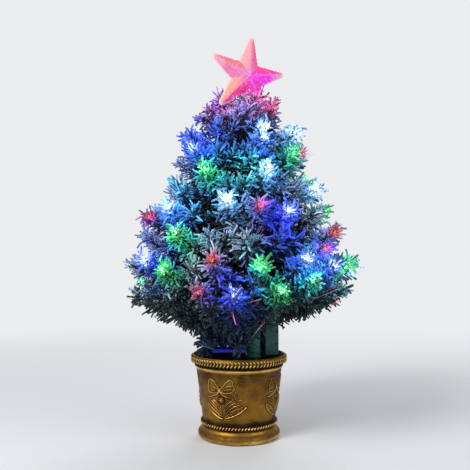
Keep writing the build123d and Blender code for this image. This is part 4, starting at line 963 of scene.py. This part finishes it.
def bell_ridges(points):
    """For each raised line, knot and dot: every point's distance in widths, its height and its groove."""
    found = [(gap_to_line(points, rounded(line)) / (width * ridge_width_share), raised, 1.0)
             for line, width, raised in raised_lines]
    dots = [(x + across * k, y + up * k, radius, raised, 0.0)
            for count, (x, y), (across, up), radius, raised in dot_rows for k in range(count)]
    found += [(np.hypot(*(points - (x, y)).T) / radius, raised, groove)
              for x, y, radius, raised, groove in (*knots, *dots)]
    return found


def bell_heights(points):
    """The relief's height over the wall and how bright it is worn, at points given from the knot."""
    base, crest, groove, strip = np.zeros((4, len(points)))
    for outline, raised, domed in raised_shapes:
        line = rounded(outline, closed=True)
        edge = gap_to_line(points, np.vstack([line, line[:1]]))
        edge = np.where(inside(points, line), edge, -edge)
        height = raised * smooth_step(edge, *bell_edges) + domed * smooth_step(edge, 0.0, dome_width)
        base = np.maximum(base, height)
    for gap, raised, grooved in bell_ridges(points):
        crest = np.maximum(crest, raised * np.exp(-gap ** 2))
        groove = np.maximum(groove, grooved * np.exp(-((gap - groove_at) / groove_spread) ** 2))
        strip = np.maximum(strip, 1 - smooth_step(gap, *strip_edges))
    groove *= 1 - np.clip(crest, 0, 1)
    height = np.maximum(base * (1 - groove_share * groove), strip_raised * strip) + crest_share * crest
    worn = worn_least + worn_base * base + worn_crest * np.clip(crest, 0, crest_most) - worn_groove * groove
    return height, np.clip(worn, 0, 1)


def wall_r(height):
    return wall_low_r + (height - wall_low_z) * wall_slope


def grid_faces(wide, high):
    """The squares of a grid of points, and one face at its back, round its border."""
    quads = [(j * wide + i, j * wide + i + 1, (j + 1) * wide + i + 1, (j + 1) * wide + i)
             for j in range(high - 1) for i in range(wide - 1)]
    low, right = list(range(wide)), [j * wide + wide - 1 for j in range(1, high)]
    top = [(high - 1) * wide + i for i in range(wide - 2, -1, -1)]
    left = [j * wide for j in range(high - 2, 0, -1)]
    return quads + [(low + right + top + left)[::-1]]


def make_bells(surface):
    """Four reliefs of two bells under a bow: each a patch that rises out of the wall."""
    columns, rows = [np.arange(low, high, bell_grid / MM) for low, high in bell_reach]
    across, up = [side.ravel() for side in np.meshgrid(columns, rows)]
    heights, worn = bell_heights(np.column_stack([across, up]))
    border = (across == columns[0]) | (across == columns[-1]) | (up == rows[0]) | (up == rows[-1])
    level = bell_mid_z + up * MM
    out = wall_r(level) - bell_sink + heights * MM * smooth_step(heights, 0.0, bell_rise)
    out = np.where(border, wall_r(level) - bell_back, out)
    turns = np.degrees(across * MM / wall_r(bell_mid_z))
    points, faces = [], []
    for azimuth in bell_azimuths:
        faces += [[len(points) + k for k in face] for face in grid_faces(len(columns), len(rows))]
        points += [heading(turn + azimuth, r, z) for turn, r, z in zip(turns, out, level)]
    piece = mesh_object("bell_reliefs", points, faces)
    store_values(piece.data, "relief", np.tile(worn, len(bell_azimuths)))
    piece.data.materials.append(surface)
    shade_smooth(piece.data)
    finish_piece(piece, "pot")


def make_pot_ornament():
    surface, group = gold_material("gold ornament", stored_relief)[0], ornament_ring_group()
    for name, side in (("rim_leaves_upper", 1), ("rim_leaves_lower", -1)):
        height = rim_band_z + side * leaf_size[0] * leaf_row_share
        ring_of_grains(name, group, surface, leaf_count, rim_band_r - leaf_sink, height, side * leaf_tilt,
                       leaf_size)
    ring_of_grains("rope_ring", group, surface, rope_count, rope_r, rope_z, rope_tilt, rope_size)
    make_bells(surface)


# Needle brushes
def needle_strand(group, width, curl):
    """One needle of unit length: it curls to one side and is thickest near its end."""
    line = add(group, "GeometryNodeCurveQuadraticBezier", {
        "Resolution": needle_steps - 1, "Start": (0, 0, 0), "Middle": (0, 0, needle_middle_share),
        "End": (0, curl, 1.0 - curl * needle_droop_share)})
    share = add(group, "GeometryNodeSplineParameter").outputs["Factor"]
    outline = add(group, "GeometryNodeCurvePrimitiveCircle",
                  {"Resolution": needle_sides, "Radius": product(group, width, 0.5)})
    mesh = add(group, "GeometryNodeCurveToMesh", {
        "Curve": store_field(group, line.outputs[0], "along", share), "Profile Curve": outline.outputs[0],
        "Scale": curve_through(group, share, needle_swell_shares), "Fill Caps": True})
    return add(group, "GeometryNodeGeometryToInstance", {0: mesh.outputs[0]}).outputs[0]


def room_in_clearing(group, given, way):
    """A needle's share of its length: short where it would reach into the clearing."""
    half = vector_maths(group, "SCALE", {0: way, "Scale": product(group, given["Length"], 0.5)})
    middle = vector_maths(group, "ADD", {0: add(group, "GeometryNodeInputPosition").outputs[0], 1: half})
    clearing = add(group, "GeometryNodeObjectInfo", {"Object": given["Clearing"]}).outputs["Geometry"]
    gap = add(group, "GeometryNodeProximity", {"Geometry": clearing, "Sample Position": middle},
              target_element="FACES").outputs["Distance"]
    return ramp(group, gap, *clearing_needles, clearing_least_share, 1.0)


def needle_frost(group, given, way):
    """How much snow a needle carries: most on those that point up or outwards."""
    seed = given["Seed"]
    sway = random_value(group, -topside_sway, topside_sway, seed, "rise")
    rise = maths(group, "ADD", parts_of(group, way)["Z"], sway)
    topside = ramp(group, rise, *topside_rises, topside_least_share, 1.0)
    frost = product(group, topside, given["Frost"])
    return maths(group, "MULTIPLY", frost, random_value(group, *frost_shares, seed, "frost"), clamp=True)


def needle_turn(group, given, tangent):
    """Each needle's turn, all round its branch and further forward near its end, and its direction."""
    seed = given["Seed"]
    share = add(group, "GeometryNodeInputNamedAttribute", {"Name": "share"}, data_type="FLOAT").outputs[0]
    turn = product(group, add(group, "GeometryNodeInputIndex").outputs[0], radians(golden_turn))
    turn = maths(group, "ADD", turn, random_value(group, -turn_sway, turn_sway, seed, "turn"))
    lean = ramp(group, share, needle_tip_from_share, 1.0, given["Lean"], given["Tip Lean"])
    sway = product(group, given["Sway"], random_value(group, -1.0, 1.0, seed, "lean"))
    start = add(group, "FunctionNodeAlignRotationToVector", {"Vector": tangent}, axis="Z").outputs[0]
    turned = spin(group, start, (0, 0, 1), turn)
    leaned = spin(group, turned, (1, 0, 0), maths(group, "ADD", lean, sway))
    curled = spin(group, leaned, (0, 0, 1), random_value(group, 0.0, 2 * pi, seed, "curl"))
    way = add(group, "FunctionNodeRotateVector", {"Vector": (0, 0, 1), "Rotation": leaned}).outputs[0]
    return curled, way


def needle_choices(group, given):
    """A needle of each curl, and which of them stands at each place."""
    needles = add(group, "GeometryNodeJoinGeometry")
    relative = maths(group, "DIVIDE", given["Width"], given["Length"])
    for curl in needle_curls:
        place_inputs(group, needles, {0: needle_strand(group, relative, curl)})
    shapes = {4: 0, 5: len(needle_curls) - 1, "Seed": chance_seed(group, given["Seed"], "shape")}
    pick = add(group, "FunctionNodeRandomValue", shapes, data_type="INT")
    return needles.outputs[0], pick.outputs[2]


def needle_size(group, given, way):
    """How long and how thick each needle is."""
    seed = given["Seed"]
    size = product(group, given["Length"], random_value(group, *needle_length_shares, seed, "length"),
                   room_in_clearing(group, given, way))
    thick = product(group, size, random_value(group, *needle_width_shares, seed, "width"))
    return add(group, "ShaderNodeCombineXYZ", {"X": thick, "Y": size, "Z": size}).outputs[0]


def brush_group():
    """Needles all round each edge of a mesh, leaning further forward towards its outer end."""
    group, given, made = geometry_group(
        "needle brush", Float=["Spacing", "Length", "Width", "Lean", "Tip Lean", "Sway", "Frost"],
        Int=["Seed"], Object=["Clearing"], Material=["Needles"])
    line = add(group, "GeometryNodeMeshToCurve", {0: given["Geometry"]})
    points = add(group, "GeometryNodeCurveToPoints",
                 {"Curve": line.outputs[0], "Length": given["Spacing"]}, mode="LENGTH").outputs
    curled, way = needle_turn(group, given, points["Tangent"])
    frosted = store_field(group, points["Points"], "frost", needle_frost(group, given, way))
    toned = store_field(group, frosted, "tone", random_value(group, 0.0, 1.0, given["Seed"], "tone"))
    needles, pick = needle_choices(group, given)
    grown = add(group, "GeometryNodeInstanceOnPoints", {
        "Points": toned, "Instance": needles, "Pick Instance": True, "Instance Index": pick,
        "Rotation": curled, "Scale": needle_size(group, given, way)})
    finish_group(group, grown.outputs[0], given["Needles"], made)
    return group


def strand_group():
    """A round bar along each edge of a mesh, with its share along the edge stored."""
    group, given, made = geometry_group("strand", Float=["Radius"], Int=["Sides"], Material=["Surface"])
    line = add(group, "GeometryNodeMeshToCurve", {0: given["Geometry"]})
    share = add(group, "GeometryNodeSplineParameter").outputs["Factor"]
    outline = add(group, "GeometryNodeCurvePrimitiveCircle",
                  {"Resolution": given["Sides"], "Radius": given["Radius"]})
    bar = add(group, "GeometryNodeCurveToMesh", {
        "Curve": store_field(group, line.outputs[0], "along", share), "Profile Curve": outline.outputs[0],
        "Fill Caps": True})
    finish_group(group, bar.outputs[0], given["Surface"], made)
    return group


# Light on the needles
def lamp_middles(colour):
    return [solid.mean(0) for solid in loose_solids(f"lamps_{colour}")]


def glow_sources():
    """The middle and look of each light. A stray glow at a lamp takes the lamp's place."""
    found = [(np.array(place) * MM, glow_looks[colour])
             for colour, places in stray_glows.items() for place in places]
    strays = np.array([middle for middle, look in found])
    for colour in lamp_colours:
        found += [(middle, glow_looks[colour]) for middle in lamp_middles(colour)
                  if np.linalg.norm(strays - middle, axis=1).min() > lit_gap]
    return found


def light_needles(piece, sources):
    """Stores on each corner how the lamps near it light it."""
    mesh = piece.data
    places = places_of(mesh)
    light, near = np.zeros((len(places), 3)), np.zeros(len(places))
    for middle, look in sources:
        gap = np.linalg.norm(places - middle, axis=1)
        core = min(core_reach, look.reach * core_reach_share)
        for hue, reach, power in ((look.halo, look.reach, 1.0), (look.core, core, core_power),
                                  (look.spill, spill_reach, spill_power)):
            shine = np.exp(-(gap / reach) ** 2) * power * look.power
            light += shine[:, None] * np.array(hue)
        near += np.exp(-(gap / (look.reach * spill_light_reach_share)) ** 2) * look.power * spill_light_gain
    peak = np.maximum(light.max(1), light_least)
    store_colour(mesh, "glow", light)
    store_colour(mesh, "glow_hue", hue_least + (1 - hue_least) * light / peak[:, None])
    store_values(mesh, "glow_spill", np.clip(near, 0, spill_light_most))


# Foliage
def outline_of(rows):
    """The needles' reach at each height, from the branch tips."""
    tips = sorted((tip[2], np.hypot(tip[0], tip[1])) for row in rows for root, tip in row)
    heights, reaches = np.array(tips).T
    levels = np.linspace(heights[0], heights[-1], outline_levels)
    widest = [reaches[np.abs(heights - level) < outline_band].max(initial=0) for level in levels]
    return levels, np.where(np.array(widest) > 0, widest, np.mean(reaches))


def bent_line(start, end, chance, bend=brush_bend):
    """A branch's line with a slight bend, so that no two rows look ruled."""
    side = chance.normal(0, 1, 3) * bend / 2
    shares = np.linspace(0, 1, brush_steps)
    return [start + (end - start) * share + side * sin(pi * share) for share in shares]


def sprig_line(start, end, share, side, outline, chance):
    """A side sprig that leaves a branch and stops short of the tree's outline."""
    axis = unit(end - start)
    level = unit(np.cross(axis, (0, 0, 1)))
    tilt = np.cross(level, axis) * chance.uniform(*sprig_tilts)
    way = unit(axis * cos(radians(sprig_angle)) + (level * side + tilt) * sin(radians(sprig_angle)))
    root = start + (end - start) * share
    longest = sprig_length * chance.uniform(*sprig_length_shares)
    for length in np.linspace(longest, sprig_length * sprig_least_share, sprig_tries):
        tip = root + way * length
        if np.hypot(tip[0], tip[1]) < np.interp(tip[2], *outline) - sprig_room:
            return bent_line(root, tip, chance)
    return None


def make_clearing():
    """A sheet from one of the star's arms towards the camera, that the needles keep out of."""
    middle, right, up = star_axes()[:3]
    angle = pi / 2 + arm_angle * cleared_arm
    tip = middle + (right * cos(angle) + up * sin(angle)) * star_r
    forward = unit(np.array([camera_side, -camera_distance, camera_height]) - middle) * clearing_depth
    return mesh_object("clearing", [middle, tip, tip + forward, middle + forward], [(0, 1, 2, 3)])


def cleared_line(line, keep_out):
    """The part of a branch's line before the clearing."""
    kept = [point for point in line if keep_out.find_nearest(Vector(point))[3] > clearing_branch]
    return kept if len(kept) > 1 else line[:2]


def make_brushes(name, lines, looks, values, replaced=()):
    """Needle brushes along a set of lines, lit by the lamps and snowed by their place in the tree."""
    lines = [(cleared_line(line, looks["keep out"]), first_share) for line, first_share in lines]
    piece = lines_object(name, [line for line, first_share in lines])
    shares = [np.linspace(first_share, 1, len(line)) for line, first_share in lines]
    store_values(piece.data, "share", np.concatenate(shares))
    run_group(piece, looks["group"], {
        "Spacing": needle_spacing, "Width": needle_width, "Lean": radians(needle_lean),
        "Tip Lean": radians(needle_tip_lean), "Sway": radians(needle_lean_sway),
        "Clearing": looks["clearing"], "Needles": looks["needles"]} | values)
    light_needles(piece, looks["sources"])
    store_depth(piece, looks["outline"])
    finish_piece(piece, "tree", replaced)


def store_depth(piece, outline):
    """How near the tree's outline each corner lies, and how much snow lies there."""
    places = places_of(piece.data)
    reach = np.interp(places[:, 2], *outline)
    outer = smooth_step(np.hypot(places[:, 0], places[:, 1]) / reach, *depth_shares)
    outer = np.maximum(outer, crown_share * smooth_step(places[:, 2], *crown_heights))
    fallen = snow_least_share + (1 - snow_least_share) * smooth_step(places[:, 2], *snow_heights)
    # outer also sets the needles' painted shade, darker where it is low
    store_values(piece.data, "outer", outer)
    store_values(piece.data, "snow", outer * fallen)


def lit_tips(rows):
    """Every branch tip that carries a lamp: its row, its place and the branch's direction."""
    middles = [middle for colour in lamp_colours for middle in lamp_middles(colour)]
    found = {}
    for number, row in enumerate(rows):
        for k, (start, tip) in enumerate(row):
            if min(np.linalg.norm(tip - middle) for middle in middles) < lit_gap:
                found[number, k] = (tip, unit(tip - start))
    return found


def row_lines(number, row, lit, outline):
    """The lines of a row's main brushes and of their side sprigs."""
    chance = np.random.default_rng(number)
    mains, sprigs = [], []
    for k, (start, tip) in enumerate(row):
        short = lit_short_of_tip if (number, k) in lit else brush_short_of_tip
        end = tip - unit(tip - start) * short
        mains.append((bent_line(start, end, chance, brush_bend if number else fringe_bend), 0.0))
        for j, share in enumerate(sprig_shares):
            line = sprig_line(start, end, share, 1 if j % 2 else -1, outline, chance)
            if line:
                sprigs.append((line, sprig_first_share))
    return mains, sprigs


def make_row(number, row, lit, looks):
    """A row's main brushes, in place of its CAD needles, and its side sprigs. Returns their wires' lines."""
    mains, sprigs = row_lines(number, row, lit, looks["outline"])
    values = {"Length": needle_length * tier_length_shares[number], "Frost": tier_frost_shares[number]}
    make_brushes(f"brushes_tier_{number}", mains, looks, values | {"Seed": number},
                 [tier_names[number]])
    if sprigs:
        make_brushes(f"sprigs_tier_{number}", sprigs, looks, values | {"Seed": sprig_seed + number})
    return [cleared_line(line, looks["keep out"]) for line, first_share in mains + sprigs]


def make_tufts(lit, looks):
    """Needles that spread round every lamp."""
    tufts = [([tip - axis * tuft_back, tip + axis * tuft_front], tuft_first_share)
             for tip, axis in lit.values()]
    make_brushes("lamp_tufts", tufts, looks, {
        "Length": needle_length * tuft_length_share, "Spacing": tuft_spacing, "Sway": radians(tuft_sway),
        "Frost": 1.0, "Seed": tuft_seed})


def make_skirt(looks):
    """Dark needles without snow that hang round the trunk, over the pot; their darkness is the painted shade
    of the tree's depth.
    """
    make_brushes("skirt_needles", skirt_lines(), looks, {
        "Length": needle_length * skirt_length_share, "Frost": 0.0, "Seed": skirt_seed})


def make_stems(stems, strands):
    """The wires inside the brushes and sprigs."""
    piece = lines_object("brush_stems", stems)
    run_group(piece, strands, {"Radius": stem_width / 2, "Sides": strand_sides, "Surface": wire_material()})
    finish_piece(piece, "tree")


def make_foliage(strands):
    """The brushes of every row, its sprigs, the lamps and the trunk, and the wires inside them."""
    rows = [[line_of(solid) for solid in loose_solids(name)] for name in tier_names]
    lit, clearing = lit_tips(rows), make_clearing()
    sheet = clearing.data
    keep_out = BVHTree.FromPolygons([corner.co for corner in sheet.vertices],
                                    [face.vertices for face in sheet.polygons])
    looks = {"group": brush_group(), "needles": needle_material(), "sources": glow_sources(),
             "outline": outline_of(rows), "clearing": clearing, "keep out": keep_out}
    stems = [stem for number, row in enumerate(rows) for stem in make_row(number, row, lit, looks)]
    make_tufts(lit, looks)
    make_skirt(looks)
    make_stems(stems, strands)
    bpy.data.objects.remove(clearing)


def skirt_lines():
    """Branches that hang from the trunk's tape to just over the pot, all round but for the bundle."""
    found = []
    for k in range(skirt_count):
        azimuth = skirt_first + skirt_sweep * k / (skirt_count - 1)
        start = heading(azimuth, *skirt_start)
        radius, height = skirt_end
        end = heading(azimuth + skirt_sway * sin(skirt_sway_step * k), radius, height + skirt_rise * (k % 3))
        found.append(([start + (end - start) * share for share in np.linspace(0, 1, skirt_steps)], 0.0))
    return found


# Optical fibres
def picture_point(column, row, forward):
    """The point that a picture pixel shows, on an upright plane in front of the trunk."""
    across = (column - picture_pixels / 2) / focal_pixels
    up = (picture_pixels / 2 - row) / focal_pixels
    tilt = radians(camera_tilt)
    ray = np.array([across, cos(tilt) - up * sin(tilt), sin(tilt) + up * cos(tilt)])
    start = np.array([camera_side, -camera_distance, camera_height])
    return start + ray * (camera_distance - forward * MM) / ray[1]


def fibre_ends():
    """Both ends and the look of each strand, on the loose fibres, where ends show, and at the pot's mouth."""
    chance = np.random.default_rng(fibre_seed)
    found = []
    for solid in loose_solids("loose_fibres"):
        start, end = line_of(solid)
        end = end - unit(end - start) * fibre_short
        for k in range(fibre_strands):
            found.append((start, end + chance.normal(0, 1, 3) * fibre_spread, ("blue", "red")[k % 2]))
    for first, last, forward, look in seen_fibres:
        end = picture_point(*last, forward + fibre_step_forward)
        found.append((picture_point(*first, forward), end, look))
    for k in range(mouth_fibres):
        start = np.array(mouth_fibre_from) + chance.normal(0, 1, 3) * mouth_fibre_sway
        reach, azimuth = chance.uniform(*mouth_fibre_reach), chance.uniform(*mouth_fibre_turns)
        found.append((start, start + heading(azimuth, reach, 0), "mouth"))
    for k in range(stray_fibres):
        start = np.array(stray_fibre_from) + chance.normal(0, 1, 3) * mouth_fibre_sway
        reach, azimuth = chance.uniform(*stray_fibre_reach), chance.uniform(*mouth_fibre_turns)
        rise = reach * chance.uniform(*stray_fibre_rises)
        found.append((start, start + heading(azimuth, reach, rise), "low"))
    return found


def make_fibres(strands):
    """Clear strands whose ends glow: those among the needles and the fan at the pot's mouth."""
    lines, hues, first_lit = [], [], []
    for start, end, look in fibre_ends():
        lines.append([start + (end - start) * share for share in np.linspace(0, 1, fibre_steps)])
        hue, power, lit_from = fibre_looks[look]
        hues += [np.array(hue) * power] * fibre_steps
        first_lit += [lit_from] * fibre_steps
    piece = lines_object("fibre_strands", lines)
    store_colour(piece.data, "hue", hues)
    store_values(piece.data, "lit_from", first_lit)
    run_group(piece, strands, {"Radius": fibre_width / 2, "Sides": strand_sides, "Surface": fibre_material()})
    layers = piece.data.attributes
    along, lit_from = [read_values(layers[name].data, "value") for name in ("along", "lit_from")]
    hue = read_values(layers["hue"].data, "color", 4)[:, :3]
    bright = fibre_dim + fibre_gain * smooth_step(along, lit_from, 1.0)
    store_colour(piece.data, "end", hue * bright[:, None])
    finish_piece(piece, "tree", ["loose_fibres"])


# Star
def star_axes():
    """The star's middle, its own right, its stem's direction and the way it faces."""
    lean, turn = radians(star_lean), radians(star_turn)
    right = np.array([cos(lean) * cos(turn), cos(lean) * sin(turn), -sin(lean)])
    up = np.array([sin(lean) * cos(turn), sin(lean) * sin(turn), cos(lean)])
    return np.array(star_middle), right, up, np.array([sin(turn), -cos(turn), 0.0])


def star_reach(angle):
    """The star's outline: straight arms between tips and valleys, with rounded tips."""
    part = (angle - pi / 2) % arm_angle
    part = min(part, arm_angle - part)
    valley_x, valley_y = star_valley_r * cos(arm_angle / 2), star_valley_r * sin(arm_angle / 2)
    straight = star_point_r * valley_y / (cos(part) * valley_y - sin(part) * (valley_x - star_point_r))
    centre = star_r - star_round
    spread = star_round ** 2 - (centre * sin(part)) ** 2
    if spread > 0 and straight * cos(part) > centre:
        return min(straight, centre * cos(part) + np.sqrt(spread))
    return straight


def blend(first, last, share):
    """Colours between two others, one for each share."""
    return first + (np.array(last) - first) * share[..., None]


def star_colours(share, forward, arms, halves):
    """Each corner's tint: that of its side of an arm, towards the inner end's and the tip's."""
    tint = np.array(star_tints)[arms, halves] * np.ones((star_rings, 1, 1))
    tint = blend(tint, np.array(star_centre_tints)[arms], 1 - smooth_step(share, *star_centre_shares))
    return blend(tint, star_tip_tint, smooth_step(forward / star_r, *star_tip_shares) * star_tip_amount)


def star_half():
    """Rings of corners round one half's middle: reach, angle, swell, tint and how pale each is."""
    angles = 2 * pi * np.arange(star_spokes) / star_spokes + pi / 2
    share = np.arange(1, star_rings + 1)[:, None] / star_rings * np.ones(star_spokes)
    reach = np.array([star_reach(angle) for angle in angles]) * share
    off = (angles - pi / 2 + arm_angle / 2) % arm_angle - arm_angle / 2
    arms = ((angles - pi / 2) / arm_angle + 0.5).astype(int) % star_arms
    halves = np.where(off > 0, 0, 1)
    forward = reach * np.cos(off)
    stripe = 0.5 + 0.5 * np.cos(2 * pi * (forward - np.abs(off) * stripe_slant) / star_stripe)
    stripe *= smooth_step(forward / star_r, *stripe_from_shares)
    dome = star_cone_share * (1 - share) + (1 - star_cone_share) * np.sqrt(1 - share ** 2)
    swell = star_height * dome + star_edge * (1 - share ** rim_power)
    swell += stripe_height * stripe * (share < stripe_last_share)
    stripe *= [stripe_shares[side in star_striped_sides] for side in zip(arms, halves)]
    ridge = np.exp(-(np.abs(off) * reach / star_ridge) ** 2)
    edge = smooth_step(share, *star_edge_shares)
    pale = np.minimum(1, pale_stripe * stripe ** 2 + pale_ridge * ridge + pale_edge * edge)
    return reach, angles, swell, star_colours(share, forward, arms, halves), pale


def star_faces(base, side):
    """The faces of one half: a fan at its middle and rings of squares round it."""
    faces = []
    for k in range(star_spokes):
        j = (k + 1) % star_spokes
        faces.append((base, base + 1 + k, base + 1 + j)[::side])
        for ring in range(star_rings - 1):
            low, high = base + 1 + ring * star_spokes, base + 1 + (ring + 1) * star_spokes
            faces.append((low + k, high + k, high + j, low + j)[::side])
    return faces


def make_star():
    """A puffed hollow-looking star: ridges down its arms, fine stripes across them near the tips."""
    middle, right, up, front = star_axes()
    reach, angles, swell, tint, pale = star_half()
    flat = (reach * np.cos(angles))[..., None] * right + (reach * np.sin(angles))[..., None] * up
    points, faces = [], []
    for side in (1, -1):
        faces += star_faces(len(points), side)
        points.append(middle + front * side * (star_edge + star_height))
        points += list((middle + flat + front * side * swell[..., None]).reshape(-1, 3))
    other = len(points) // 2
    rim = other - star_spokes
    for k in range(star_spokes):
        j = (k + 1) % star_spokes
        faces.append((rim + j, rim + k, other + rim + k, other + rim + j))
    piece = mesh_object("star_shell", points, faces)
    store_colour(piece.data, "tint", np.vstack([star_middle_tint, tint.reshape(-1, 3)] * 2))
    store_values(piece.data, "relief", np.concatenate([[star_middle_pale], pale.ravel()] * 2))
    shade_smooth(piece.data)
    piece.data.materials.append(star_material())
    finish_piece(piece, "star", ["star_front", "star_back"])


# Stage, light and camera
def make_stage():
    """A round pale floor that fades into the background far behind the tree."""
    turns = [2 * pi * k / floor_sides for k in range(floor_sides)]
    floor = mesh_object("floor", [(floor_r * cos(turn), floor_r * sin(turn), 0) for turn in turns],
                        [range(floor_sides)])
    made, group, shader = material("pale floor")
    place_inputs(group, shader, {"Base Color": floor_colour, "Roughness": floor_roughness})
    far = ramp(group, vector_maths(group, "LENGTH", {0: object_place(group)}, "Value"), *floor_fade)
    seen = add(group, "ShaderNodeLightPath").outputs["Is Camera Ray"]
    plain = add(group, "ShaderNodeEmission", {"Color": background_colour, "Strength": background_strength})
    output = shader.outputs[0].links[0].to_node
    blended = add(group, "ShaderNodeMixShader",
                  {0: product(group, far, seen), 1: shader.outputs[0], 2: plain.outputs[0]})
    place_inputs(group, output, {"Surface": blended.outputs[0]})
    floor.data.materials.append(made)


def make_world():
    """A pale even background, dimmer as a light than it looks."""
    world = bpy.data.worlds.new("studio")
    bpy.context.scene.world = world
    world.use_nodes = True
    group = world.node_tree
    group.nodes.clear()
    path = add(group, "ShaderNodeLightPath")
    seen = maths(group, "ADD", path.outputs["Is Camera Ray"], path.outputs["Is Transmission Ray"], clamp=True)
    strength = add(group, "ShaderNodeMapRange",
                   {"Value": seen, "To Min": world_strength, "To Max": background_strength}).outputs[0]
    background = add(group, "ShaderNodeBackground", {"Color": background_colour, "Strength": strength})
    add(group, "ShaderNodeOutputWorld", {"Surface": background.outputs[0]})


def make_lights():
    for name, (place, size, power) in studio_lights.items():
        light = bpy.data.lights.new(name, "AREA")
        light.shape = "DISK"
        light.size = size
        light.energy = power
        obj = link(bpy.data.objects.new(name, light))
        obj.location = place
        obj.rotation_euler = (Vector(light_aim) - Vector(place)).to_track_quat("-Z", "Y").to_euler()


def make_camera():
    camera = bpy.data.cameras.new("camera")
    camera.sensor_width = sensor_width
    camera.lens = focal_pixels / picture_pixels * sensor_width
    obj = link(bpy.data.objects.new("camera", camera))
    obj.location = (camera_side, -camera_distance, camera_height)
    obj.rotation_euler = (radians(90 + camera_tilt), 0, 0)
    bpy.context.scene.camera = obj


make_stage()
make_world()
make_lights()
make_camera()
bpy.context.scene.view_settings.view_transform = "Standard"

aged_gold, moulded_plastic, brushed_metal = aged_gold_group(), moulded_group(), brushed_group()
finish_nodes()
make_pot_ornament()
strand_maker = strand_group()
make_foliage(strand_maker)
make_fibres(strand_maker)
make_star()
